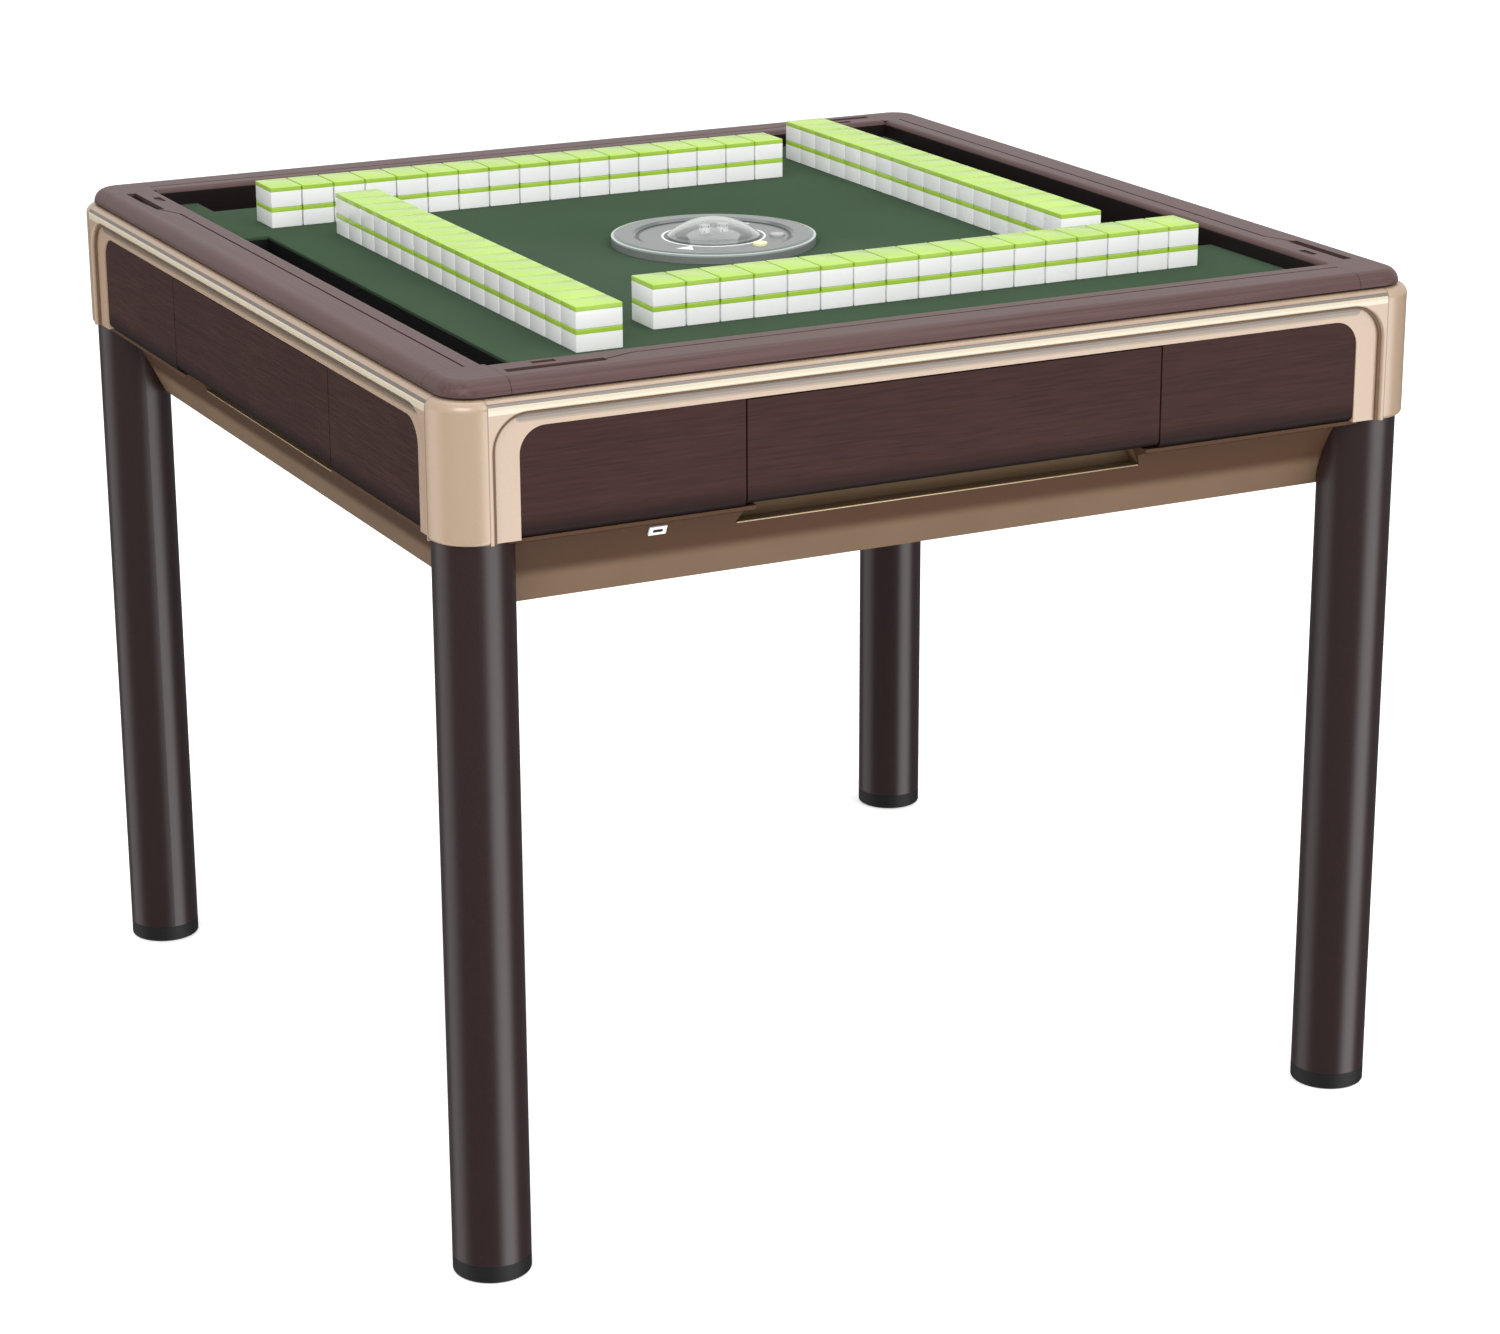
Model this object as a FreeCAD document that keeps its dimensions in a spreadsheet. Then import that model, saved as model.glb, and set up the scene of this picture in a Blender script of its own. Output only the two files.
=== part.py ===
import FreeCAD
import Part
import Sketcher
import math
import os

# Automatic mahjong table: four round legs carry a square machine body with a
# recessed playing field, four lifting slots, four drawers and a centre console.
# Millimetres, +Z up, origin on the floor below the middle of the table.
# The front side faces -Y; sides count anticlockwise: front, right, back, left.

SIDES = ("front", "right", "back", "left")

SIZES = {
    # whole table
    "outer_size": 900, "corner_radius": 36, "fit_gap": 0.3, "slide_gap": 0.75,
    # legs and feet
    "leg_inset": 37, "leg_spacing": "=outer_size - 2 * leg_inset", "leg_dia": 65, "leg_wall": 2.5,
    "foot_height": 15, "foot_spigot": 22, "stud_dia": 24, "stud_length": 52, "stud_gap": 0.05,
    # lower pan
    "pan_top": 624, "pan_flange": 3, "pan_shelf": "=pan_top - pan_flange", "pan_undercut": 6,
    "pan_knee": "=pan_shelf - pan_undercut", "pan_slope": 57, "pan_bottom": "=pan_knee - pan_slope",
    "pan_bottom_inset": 58, "pan_knee_inset": 27, "pan_top_inset": 10, "pan_wall": 12, "pan_floor": 4,
    "pull_depth": 19, "pull_inset": 47, "pull_spread": 8,
    # side panels and drawers
    "panel_height": 89, "panel_top": "=pan_top + panel_height", "panel_radius": 22, "panel_inset": 6,
    "panel_thick": 15, "drawer_half": 191, "drawer_seam": 1.5, "drawer_lift": 2, "front_round": 7,
    "pull_margin": 10, "pull_half": "=drawer_half - pull_margin",
    "tray_margin": 9, "tray_half": "=drawer_half - tray_margin", "tray_depth": 163, "tray_lift": 8,
    "tray_bottom": "=pan_top + tray_lift", "tray_height": 52, "tray_top": "=tray_bottom + tray_height",
    "tray_wall": 4, "grip_half": 60, "grip_height": 12, "grip_depth": 6,
    # gold trim round each side
    "trim_thick": 15, "trim_back_inset": 20, "arch_rise": "=trim_back_inset - trim_thick", "seam_margin": 0.5,
    "seam_half": "=outer_size / 2 - corner_radius - seam_margin",
    "arch_side": 4, "arch_half": "=seam_half - arch_side",
    "border_side": 23.5, "panel_half": "=arch_half - border_side",
    "border_height": 13, "arch_top": "=panel_top + border_height",
    "arch_height": 11, "trim_top": "=arch_top + arch_height",
    "arch_radius": 30, "arch_round": 2, "top_roll": 8, "cover_wall": 14, "cover_round": 4,
    # rim
    "rim_width": 60, "rim_inner": "=outer_size / 2 - rim_width", "rim_height": 14,
    "rim_inset": 8, "rim_outer": "=outer_size / 2 - rim_inset", "rim_bend": "=corner_radius - rim_inset",
    "rim_top": "=trim_top + rim_height", "rim_lip": 2, "rim_lip_inset": 4, "rim_land": 0.5,
    "rim_round": "=rim_height - rim_lip - rim_land", "rim_inner_round": 5, "rim_skirt": 8,
    "chip_end": 6, "chip_length": 84, "chip_width": 9, "chip_depth": 6, "chip_offset": 27,
    "groove_width": 2, "groove_depth": 1.2, "groove_offset": 17, "groove_kink": 28,
    "notch_end": 34, "notch_length": 20, "notch_width": 7, "notch_depth": 1.5, "notch_offset": 12,
    # deck, felt and lifting bars
    "felt_drop": 16, "felt_top": "=rim_top - felt_drop",
    "felt_thick": 3, "felt_bottom": "=felt_top - felt_thick",
    "board_thick": 15, "deck_step": "=felt_bottom - board_thick", "deck_thick": 14,
    "deck_bottom": "=deck_step - deck_thick", "deck_inset": 22, "deck_hole": 60,
    "slot_width": 46, "slot_land": 129, "slot_start": "=rim_inner - slot_width - slot_land",
    "slot_margin": 40,
    "slot_end": "=rim_inner - slot_margin",
    "bar_rise": 4, "bar_top": "=deck_bottom + bar_rise", "bar_thick": 12,
    # chassis
    "plate_thick": 4, "plate_inset": 22, "block_inset": 65, "block_start": "=outer_size / 2 - block_inset",
    "rib_thick": 6, "rib_drop": 4, "rib_top": "=tray_top - rib_drop", "ledge_width": 10, "ledge_gap": 0.2,
    "post_inner": 45, "post_outer": 52, "post_gap": 13, "post_top": "=deck_bottom - post_gap",
    "shoulder_radius": 66, "shoulder_height": 8,
    # shuffling turntable and drive
    "turn_margin": 21,
    "turn_radius": "=outer_size / 2 - panel_inset - panel_thick - tray_depth - turn_margin",
    "turn_bottom": "=pan_top + plate_thick + shoulder_height + fit_gap", "turn_hub": 66, "hub_height": 33.7,
    "turn_hub_top": "=turn_bottom + hub_height", "turn_rim": 25.7, "turn_rim_top": "=turn_bottom + turn_rim",
    "turn_wall": 6, "roller_radius": 24, "roller_lift": 1.7, "roller_bottom": "=turn_bottom + roller_lift",
    "roller_height": 22, "shaft_dia": 10, "shaft_gap": 0.05, "motor_radius": 32, "motor_length": 52,
    "shaft_reach": 24,
    # centre console
    "console_radius": 92, "console_lift": 8, "console_base": "=pan_top + console_lift", "flange_thick": 6,
    "flange_top": "=felt_top + flange_thick", "tube_wall": 6, "tube_gap": 0.1,
    "ring_inner": 70, "ring_height": 2.5, "dome_radius": 44, "dome_rise": 17, "dome_wall": 2.5,
    "dice_disc": 34, "dice_disc_thick": 2.5, "dice_shaft": 8, "dice_size": 8, "dice_offset": 9,
    "key_radius": 6.5, "key_orbit": 57, "key_pocket": 4, "key_height": 4, "key_lift": 1.5, "key_stem": 5,
    # charging socket plate on the pan
    "socket_width": 15, "socket_height": 8.5, "socket_thick": 1.5, "socket_x": 259, "socket_drop": 18.5,
    # tiles
    "tile_pitch": 31, "tile_gap": 0.3, "tile_length": 41, "tile_thick": 19, "tile_edge": 1.4,
    "row_gap": 59, "row_inner": "=rim_inner - slot_width - row_gap - tile_length", "row_clear": 40,
    "row_margin": 20, "row_end": "=slot_end - row_margin",
}

doc = FreeCAD.newDocument("MahjongTable")
sheet = doc.addObject("Spreadsheet::Sheet", "Sizes")
for row, (alias, size) in enumerate(SIZES.items(), 1):
    sheet.set("A%d" % row, alias)
    sheet.set("B%d" % row, str(size))
    sheet.setAlias("B%d" % row, alias)
doc.recompute()

nodes = []


def cell(alias):
    """One driving size, read from the sheet."""
    return "Sizes." + alias


def value(expression):
    """The present number of an expression on the sheet."""
    return float(sheet.evalExpression(expression))


def new_body(label):
    """A body of its own for one sub-part."""
    body = doc.addObject("PartDesign::Body", label)
    body.Label = label
    return body


def place(item, label, turn=0):
    """Give a finished sub-part its label and its side of the table, and list it."""
    item.Label = label
    item.Placement = FreeCAD.Placement(FreeCAD.Vector(), FreeCAD.Rotation(FreeCAD.Vector(0, 0, 1), 90 * turn))
    nodes.append(item)
    return item


def origin_feature(body, role):
    """One of a body's own origin planes or axes."""
    return [f for f in body.Origin.OriginFeatures if f.Role == role][0]


def new_sketch(body, name, role, offset="0"):
    """A sketch on an origin plane of its body, moved along the plane's normal."""
    sketch = body.newObject("Sketcher::SketchObject", name)
    sketch.AttachmentSupport = (origin_feature(body, role), "")
    sketch.MapMode = "FlatFace"
    sketch.setExpression("AttachmentOffset.Base.z", offset)
    return sketch


def pin(sketch, geometry, point, across, up):
    """Hold one point of a sketch at two expressions measured from the origin."""
    for kind, expression in (("DistanceX", across), ("DistanceY", up)):
        index = sketch.addConstraint(Sketcher.Constraint(kind, -1, 1, geometry, point, value(expression)))
        sketch.setExpression("Constraints[%d]" % index, expression)


def polygon(sketch, points):
    """A closed outline whose corners are expressions."""
    spots = [FreeCAD.Vector(value(a), value(b), 0) for a, b in points]
    count = len(spots)
    lines = []
    for i in range(count):
        lines.append(sketch.addGeometry(Part.LineSegment(spots[i], spots[(i + 1) % count]), False))
    for i in range(count):
        sketch.addConstraint(Sketcher.Constraint("Coincident", lines[i], 2, lines[(i + 1) % count], 1))
    for line, (across, up) in zip(lines, points):
        pin(sketch, line, 1, across, up)


def rectangle(sketch, left, right, low, high):
    """An upright rectangle between four expressions."""
    polygon(sketch, [(left, low), (right, low), (right, high), (left, high)])


def square(sketch, half):
    """A square about the origin."""
    rectangle(sketch, "-(%s)" % half, half, "-(%s)" % half, half)


def circle(sketch, radius, across="0", up="0"):
    """A circle with its centre and radius as expressions."""
    centre = FreeCAD.Vector(value(across), value(up), 0)
    index = sketch.addGeometry(Part.Circle(centre, FreeCAD.Vector(0, 0, 1), value(radius)), False)
    pin(sketch, index, 3, across, up)
    size = sketch.addConstraint(Sketcher.Constraint("Radius", index, value(radius)))
    sketch.setExpression("Constraints[%d]" % size, radius)


def pad(body, sketch, length, reverse=False, middle=False):
    """Extrude a sketch by an expression."""
    feature = body.newObject("PartDesign::Pad", "Pad")
    feature.Profile = sketch
    feature.setExpression("Length", length)
    feature.Reversed = reverse
    feature.Midplane = middle
    sketch.Visibility = False
    doc.recompute()
    return feature


def pocket(body, sketch, length, reverse=False, middle=False):
    """Cut a sketch away and make sure it took material."""
    before = body.Shape.Volume
    feature = body.newObject("PartDesign::Pocket", "Pocket")
    feature.Profile = sketch
    feature.setExpression("Length", length)
    feature.Reversed = reverse
    feature.Midplane = middle
    doc.recompute()
    if body.Shape.Volume >= before - 0.01:
        raise RuntimeError("pocket took nothing from " + body.Label)
    return feature


def revolve(body, sketch):
    """Turn a profile in the XZ plane once round the Z axis."""
    feature = body.newObject("PartDesign::Revolution", "Revolution")
    feature.Profile = sketch
    feature.ReferenceAxis = (origin_feature(body, "Z_Axis"), [""])
    feature.Angle = 360
    doc.recompute()
    return feature


def around(body, features):
    """Repeat features on all four sides of a body."""
    pattern = body.newObject("PartDesign::PolarPattern", "FourSides")
    pattern.Originals = features
    pattern.Axis = (origin_feature(body, "Z_Axis"), [""])
    pattern.Angle = 360
    pattern.Occurrences = len(SIDES)
    body.Tip = pattern
    doc.recompute()
    return pattern


def edges_where(body, test):
    """Names of the edges of a body's last shape that pass a test on their middle point and direction."""
    names = []
    for number, edge in enumerate(body.Shape.Edges, 1):
        middle = edge.valueAt((edge.FirstParameter + edge.LastParameter) / 2)
        run = edge.Vertexes[-1].Point - edge.Vertexes[0].Point
        if test(middle, run, edge):
            names.append("Edge%d" % number)
    return names


def round_edges(body, radius, test):
    """Round the edges of a body that pass a test."""
    names = edges_where(body, test)
    if not names:
        raise RuntimeError("no edge to round on " + body.Label)
    base = body.Tip
    feature = body.newObject("PartDesign::Fillet", "Rounded")
    feature.Base = (base, names)
    feature.setExpression("Radius", "(%s) * 1 mm" % radius)
    body.Tip = feature
    doc.recompute()
    if "Invalid" in feature.State:
        raise RuntimeError("edges could not be rounded on " + body.Label)
    return feature


def close(a, b):
    """Two lengths agree."""
    return abs(a - b) < 0.01


def along(run, axis):
    """A direction lies along one axis."""
    parts = [abs(run.x), abs(run.y), abs(run.z)]
    main = parts.pop("xyz".index(axis))
    return main > 0.01 and max(parts) < 0.01


half = cell("outer_size") + " / 2"
leg_at = cell("leg_spacing") + " / 2"


def make_leg(turn):
    """Round leg tube with a threaded stud's plain shank on its closed top."""
    leg = new_body("leg_%d" % (turn + 1))
    low = cell("foot_height")
    tube = new_sketch(leg, "LegOuter", "XY_Plane", low)
    circle(tube, cell("leg_dia") + " / 2", "-" + leg_at, "-" + leg_at)
    pad(leg, tube, cell("pan_top") + " - " + low)
    bore = new_sketch(leg, "LegBore", "XY_Plane", low)
    circle(bore, "%s / 2 - %s" % (cell("leg_dia"), cell("leg_wall")), "-" + leg_at, "-" + leg_at)
    pocket(leg, bore, "%s - %s - 12" % (cell("pan_top"), low), reverse=True)
    stud = new_sketch(leg, "Stud", "XY_Plane", cell("pan_top"))
    circle(stud, cell("stud_dia") + " / 2", "-" + leg_at, "-" + leg_at)
    pad(leg, stud, cell("stud_length"))
    place(leg, leg.Label, turn)


def make_foot(turn):
    """Black foot cap pushed into the open end of the leg tube."""
    foot = new_body("foot_%d" % (turn + 1))
    base = new_sketch(foot, "FootBase", "XY_Plane")
    circle(base, cell("leg_dia") + " / 2", "-" + leg_at, "-" + leg_at)
    pad(foot, base, cell("foot_height"))
    plug = new_sketch(foot, "FootPlug", "XY_Plane", cell("foot_height"))
    bore = "%s / 2 - %s - %s" % (cell("leg_dia"), cell("leg_wall"), cell("stud_gap"))
    circle(plug, bore, "-" + leg_at, "-" + leg_at)
    pad(foot, plug, cell("foot_spigot"))
    round_edges(foot, "2", lambda p, r, e: close(p.z, 0))
    place(foot, foot.Label, turn)


def make_pan():
    """Bronze lower pan: undercut flange, sloping sides, leg cut-outs and a finger pull below every drawer."""
    pan = new_body("lower_pan")
    levels = (("pan_bottom", "pan_bottom_inset"), ("pan_knee", "pan_knee_inset"),
              ("pan_shelf", "pan_top_inset"), ("pan_top", "pan_top_inset"))
    rings = []
    for level, inset in levels:
        ring = new_sketch(pan, "Ring_" + level, "XY_Plane", cell(level))
        square(ring, "%s - %s" % (half, cell(inset)))
        rings.append(ring)
    loft = pan.newObject("PartDesign::AdditiveLoft", "SlopingSides")
    loft.Profile = rings[0]
    loft.Sections = rings[1:]
    loft.Ruled = True
    doc.recompute()
    hollow = new_sketch(pan, "Hollow", "XY_Plane", cell("pan_top"))
    square(hollow, "%s - %s - %s" % (half, cell("pan_bottom_inset"), cell("pan_wall")))
    pocket(pan, hollow, "%s - %s - %s" % (cell("pan_top"), cell("pan_bottom"), cell("pan_floor")))
    notch = new_sketch(pan, "LegNotch", "XY_Plane", cell("pan_bottom"))
    circle(notch, "%s / 2 + %s" % (cell("leg_dia"), cell("fit_gap")), "-" + leg_at, "-" + leg_at)
    cut = pocket(pan, notch, "%s - %s" % (cell("pan_top"), cell("pan_bottom")), reverse=True)
    corner = new_sketch(pan, "CornerCut", "XY_Plane", cell("pan_bottom"))
    rectangle(corner, "-(%s)" % half, "-" + leg_at, "-(%s)" % half, "-" + leg_at)
    clip = pocket(pan, corner, "%s - %s" % (cell("pan_top"), cell("pan_bottom")), reverse=True)
    around(pan, [cut, clip])
    pull = new_sketch(pan, "FingerPull", "XZ_Plane", "%s - %s" % (half, cell("pull_inset")))
    floor = "%s - %s" % (cell("pan_top"), cell("pull_depth"))
    reach = "(%s + %s)" % (cell("pull_half"), cell("pull_spread"))
    polygon(pull, [("-" + reach, floor), (reach, floor), (cell("pull_half"), cell("pan_top")),
                   ("-" + cell("pull_half"), cell("pan_top"))])
    scoop = pocket(pan, pull, cell("pull_inset"), reverse=True)
    around(pan, [scoop])
    place(pan, pan.Label)


def make_trim(turn):
    """Gold side trim: flat border round the panels inside a raised arch whose top rolls over to the rim."""
    trim = new_body("trim_" + SIDES[turn])
    seam, low, top = cell("seam_half"), cell("pan_top"), cell("trim_top")
    inner, crown = cell("panel_half"), cell("panel_top")
    wide, high = cell("arch_half"), cell("arch_top")
    back = "%s - %s" % (half, cell("trim_back_inset"))
    face = "%s + %s" % (back, cell("trim_thick"))
    for name, level, side, head, rise in (("Border", back, inner, crown, "trim_thick"),
                                          ("RaisedArch", face, wide, high, "arch_rise")):
        frame = new_sketch(trim, name, "XZ_Plane", level)
        polygon(frame, [("-" + seam, low), ("-" + seam, top), (seam, top), (seam, low), (side, low),
                        (side, head), ("-" + side, head), ("-" + side, low)])
        pad(trim, frame, cell(rise))
    for side, head, radius in ((inner, crown, "panel_radius"), (wide, high, "arch_radius")):
        side_now, head_now = value(side), value(head)
        round_edges(trim, cell(radius), lambda p, r, e: along(r, "y") and close(abs(p.x), side_now)
                    and close(p.z, head_now))
    outer_now, low_now, top_now = -value(half), value(low), value(top)
    round_edges(trim, cell("top_roll"), lambda p, r, e: along(r, "x") and close(p.y, outer_now)
                and close(p.z, top_now))
    wide_now, high_now = value(wide), value(high)
    round_edges(trim, cell("arch_round"), lambda p, r, e: close(p.y, outer_now) and p.z > low_now + 1
                and p.z < high_now + 0.01 and abs(p.x) < wide_now + 0.01)
    place(trim, trim.Label, turn)


def make_corner(turn):
    """Rounded gold corner cover between two side trims."""
    cover = new_body("corner_cover_%d" % (turn + 1))
    seam, wall = cell("seam_half"), cell("cover_wall")
    plan = new_sketch(cover, "CornerPlan", "XY_Plane", cell("pan_top"))
    inner = "%s - %s" % (half, wall)
    edge, skin, end = "-(%s)" % half, "-(%s)" % inner, "-" + seam
    polygon(plan, [(end, edge), (end, skin), (skin, skin), (skin, end), (edge, end), (edge, edge)])
    pad(cover, plan, "%s - %s" % (cell("trim_top"), cell("pan_top")))
    half_now, inner_now, low = value(half), value(inner), value(cell("pan_top"))
    round_edges(cover, cell("corner_radius"), lambda p, r, e: along(r, "z") and close(p.x, -half_now)
                and close(p.y, -half_now))
    round_edges(cover, "%s - %s" % (cell("corner_radius"), wall), lambda p, r, e: along(r, "z")
                and close(p.x, -inner_now) and close(p.y, -inner_now))
    for level, radius in ((low, "cover_round"), (value(cell("trim_top")), "top_roll")):
        round_edges(cover, cell(radius), lambda p, r, e: close(p.z, level) and (close(p.x, -half_now)
                    or close(p.y, -half_now) or e.Curve.TypeId == "Part::GeomCircle"
                    and close(e.Curve.Radius, value(cell("corner_radius")))))
    place(cover, cover.Label, turn)


def make_fixed_panels(turn):
    """Two fixed brown panels beside a drawer, each with one rounded upper corner and a rolled lower edge."""
    pair = []
    for sign in (-1, 1):
        panel = new_body("panel_%s_%s" % (SIDES[turn], "left" if sign < 0 else "right"))
        back = "%s - %s - %s" % (half, cell("panel_inset"), cell("panel_thick"))
        near = "%d * (%s + %s)" % (sign, cell("drawer_half"), cell("drawer_seam"))
        far = "%d * (%s - %s)" % (sign, cell("panel_half"), cell("fit_gap"))
        high = "%s - %s" % (cell("panel_top"), cell("fit_gap"))
        face = new_sketch(panel, "PanelFace", "XZ_Plane", back)
        rectangle(face, near, far, cell("pan_top"), high)
        pad(panel, face, cell("panel_thick"))
        far_now, high_now = value(far), value(high)
        round_edges(panel, "%s - %s" % (cell("panel_radius"), cell("fit_gap")), lambda p, r, e: along(r, "y")
                    and close(p.x, far_now) and close(p.z, high_now))
        face_now, low_now = -value("%s - %s" % (half, cell("panel_inset"))), value(cell("pan_top"))
        round_edges(panel, cell("front_round"), lambda p, r, e: along(r, "x") and close(p.y, face_now)
                    and close(p.z, low_now))
        pair.append(panel)
    group = doc.addObject("Part::Compound", "panels_" + SIDES[turn])
    group.Links = pair
    doc.recompute()
    place(group, group.Name, turn)


def make_drawer(turn):
    """Drawer front with rolled lower edge and hidden grip, and the open tray behind it."""
    front = new_body("drawer_front_" + SIDES[turn])
    back = "%s - %s - %s" % (half, cell("panel_inset"), cell("panel_thick"))
    low = "%s + %s" % (cell("pan_top"), cell("drawer_lift"))
    high = "%s - %s" % (cell("panel_top"), cell("drawer_seam"))
    face = new_sketch(front, "DrawerFace", "XZ_Plane", back)
    rectangle(face, "-" + cell("drawer_half"), cell("drawer_half"), low, high)
    pad(front, face, cell("panel_thick"))
    grip = new_sketch(front, "Grip", "XZ_Plane", back)
    rectangle(grip, "-" + cell("grip_half"), cell("grip_half"), low, "%s + %s" % (low, cell("grip_height")))
    pocket(front, grip, cell("grip_depth"), reverse=True)
    face_now = -value("%s - %s" % (half, cell("panel_inset")))
    low_now = value(low)
    round_edges(front, cell("front_round"), lambda p, r, e: along(r, "x") and close(p.y, face_now)
                and close(p.z, low_now))
    place(front, front.Label, turn)

    tray = new_body("drawer_tray_" + SIDES[turn])
    wall = cell("tray_wall")
    plan = new_sketch(tray, "TrayPlan", "XY_Plane", cell("tray_bottom"))
    far = "-(%s - %s)" % (back, cell("tray_depth"))
    rectangle(plan, "-" + cell("tray_half"), cell("tray_half"), "-(%s)" % back, far)
    pad(tray, plan, "%s - %s" % (cell("tray_top"), cell("tray_bottom")))
    well = new_sketch(tray, "TrayWell", "XY_Plane", cell("tray_top"))
    rectangle(well, "-(%s - %s)" % (cell("tray_half"), wall), "%s - %s" % (cell("tray_half"), wall),
              "-(%s - %s)" % (back, wall), "%s - %s" % (far, wall))
    pocket(tray, well, "%s - %s - %s" % (cell("tray_top"), cell("tray_bottom"), wall))
    place(tray, tray.Label, turn)


def make_rim(turn):
    """Brown rim rail with a skirt to the deck, and a chip slot, a thumb notch and a kinked groove on top."""
    rail = new_body("rim_rail_" + SIDES[turn])
    inner, top, low = cell("rim_inner"), cell("rim_top"), cell("trim_top")
    lip, inset = cell("rim_lip"), cell("rim_lip_inset")
    profile = new_sketch(rail, "RailProfile", "YZ_Plane")
    skirt = "-(%s + %s)" % (inner, cell("rim_skirt"))
    outer = cell("rim_outer")
    foot = "-(%s - %s)" % (outer, inset)
    polygon(profile, [(foot, low), (foot, "%s + %s" % (low, lip)), ("-" + outer, "%s + %s" % (low, lip)),
                      ("-" + outer, top), ("-" + inner, top), ("-" + inner, cell("deck_step")),
                      (skirt, cell("deck_step")), (skirt, low)])
    pad(rail, profile, "2 * " + inner, middle=True)
    outer_now, inner_now, top_now = value(outer), value(inner), value(top)
    round_edges(rail, cell("rim_round"), lambda p, r, e: along(r, "x") and close(p.y, -outer_now)
                and close(p.z, top_now))
    round_edges(rail, cell("rim_inner_round"), lambda p, r, e: along(r, "x") and close(p.y, -inner_now)
                and close(p.z, top_now))
    chip_far = "-(%s - %s - %s)" % (inner, cell("chip_end"), cell("chip_length"))
    for name, end, long, wide, deep, offset in (
            ("ChipSlot", "chip_end", "chip_length", "chip_width", "chip_depth", "chip_offset"),
            ("ThumbNotch", "notch_end", "notch_length", "notch_width", "notch_depth", "notch_offset")):
        well = new_sketch(rail, name, "XY_Plane", top)
        start = "-(%s - %s)" % (inner, cell(end))
        middle = "-(%s + %s)" % (inner, cell(offset))
        rectangle(well, start, "%s + %s" % (start, cell(long)), "%s - %s / 2" % (middle, cell(wide)),
                  "%s + %s / 2" % (middle, cell(wide)))
        pocket(rail, well, cell(deep))
    groove = new_sketch(rail, "Groove", "XY_Plane", top)
    bend = "%s + %s" % (chip_far, cell("groove_kink"))
    near = "-(%s + %s)" % (inner, cell("chip_offset"))
    line = "-(%s + %s)" % (inner, cell("groove_offset"))
    lower, upper = "%s - " + cell("groove_width") + " / 2", "%s + " + cell("groove_width") + " / 2"
    polygon(groove, [(chip_far, lower % near), (bend, lower % line), (inner, lower % line),
                     (inner, upper % line), (bend, upper % line), (chip_far, upper % near)])
    pocket(rail, groove, cell("groove_depth"))
    place(rail, rail.Label, turn)


def make_rim_corner(turn):
    """Rounded brown corner cap that joins two rim rails."""
    cap = new_body("rim_corner_%d" % (turn + 1))
    inner, low, top = cell("rim_inner"), cell("trim_top"), cell("rim_top")
    foot = new_sketch(cap, "CapFoot", "XY_Plane", low)
    outer = "-" + cell("rim_outer")
    edge = "-(%s - %s)" % (cell("rim_outer"), cell("rim_lip_inset"))
    rectangle(foot, edge, "-" + inner, edge, "-" + inner)
    pad(cap, foot, cell("rim_lip"))
    edge_now = value(edge)
    round_edges(cap, "%s - %s" % (cell("rim_bend"), cell("rim_lip_inset")),
                lambda p, r, e: along(r, "z") and close(p.x, edge_now) and close(p.y, edge_now))
    crown = new_sketch(cap, "CapCrown", "XY_Plane", "%s + %s" % (low, cell("rim_lip")))
    rectangle(crown, outer, "-" + inner, outer, "-" + inner)
    pad(cap, crown, "%s - %s - %s" % (top, low, cell("rim_lip")))
    outer_now, top_now = value(outer), value(top)
    round_edges(cap, cell("rim_bend"), lambda p, r, e: along(r, "z") and close(p.x, outer_now)
                and close(p.y, outer_now))
    round_edges(cap, cell("rim_round"), lambda p, r, e: close(p.z, top_now) and (close(p.x, outer_now)
                or close(p.y, outer_now) or e.Curve.TypeId == "Part::GeomCircle"))
    place(cap, cap.Label, turn)


def slot_outline(sketch, clearance="0"):
    """The lifting slot of the front side, or the bar that fills it with a clearance."""
    outer = "-(%s - %s)" % (cell("rim_inner"), clearance)
    inner = "-(%s - %s + %s)" % (cell("rim_inner"), cell("slot_width"), clearance)
    rectangle(sketch, "-(%s - %s)" % (cell("slot_start"), clearance), "%s - %s" % (cell("slot_end"), clearance),
              outer, inner)


def make_deck():
    """Playing deck: wide base, raised field board, four lifting slots and the console hole."""
    deck = new_body("deck")
    base = new_sketch(deck, "DeckBase", "XY_Plane", cell("deck_bottom"))
    square(base, "%s - %s" % (half, cell("deck_inset")))
    pad(deck, base, "%s - %s" % (cell("deck_step"), cell("deck_bottom")))
    field = new_sketch(deck, "FieldBoard", "XY_Plane", cell("deck_step"))
    square(field, "%s - %s" % (cell("rim_inner"), cell("fit_gap")))
    pad(deck, field, "%s - %s" % (cell("felt_bottom"), cell("deck_step")))
    hole = new_sketch(deck, "ConsoleHole", "XY_Plane", cell("felt_bottom"))
    circle(hole, cell("deck_hole"))
    pocket(deck, hole, "%s - %s" % (cell("felt_bottom"), cell("deck_bottom")))
    slot = new_sketch(deck, "LiftSlot", "XY_Plane", cell("felt_bottom"))
    slot_outline(slot)
    cut = pocket(deck, slot, "%s - %s" % (cell("felt_bottom"), cell("deck_bottom")))
    around(deck, [cut])
    place(deck, deck.Label)


def make_felt():
    """Green playing cloth glued on the field board."""
    felt = new_body("felt")
    field = new_sketch(felt, "FeltPlan", "XY_Plane", cell("felt_bottom"))
    square(field, "%s - %s" % (cell("rim_inner"), cell("fit_gap")))
    pad(felt, field, "%s - %s" % (cell("felt_top"), cell("felt_bottom")))
    hole = new_sketch(felt, "FeltHole", "XY_Plane", cell("felt_top"))
    circle(hole, cell("deck_hole"))
    pocket(felt, hole, "%s - %s" % (cell("felt_top"), cell("felt_bottom")))
    slot = new_sketch(felt, "FeltSlot", "XY_Plane", cell("felt_top"))
    slot_outline(slot)
    cut = pocket(felt, slot, "%s - %s" % (cell("felt_top"), cell("felt_bottom")))
    around(felt, [cut])
    place(felt, felt.Label)


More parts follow.
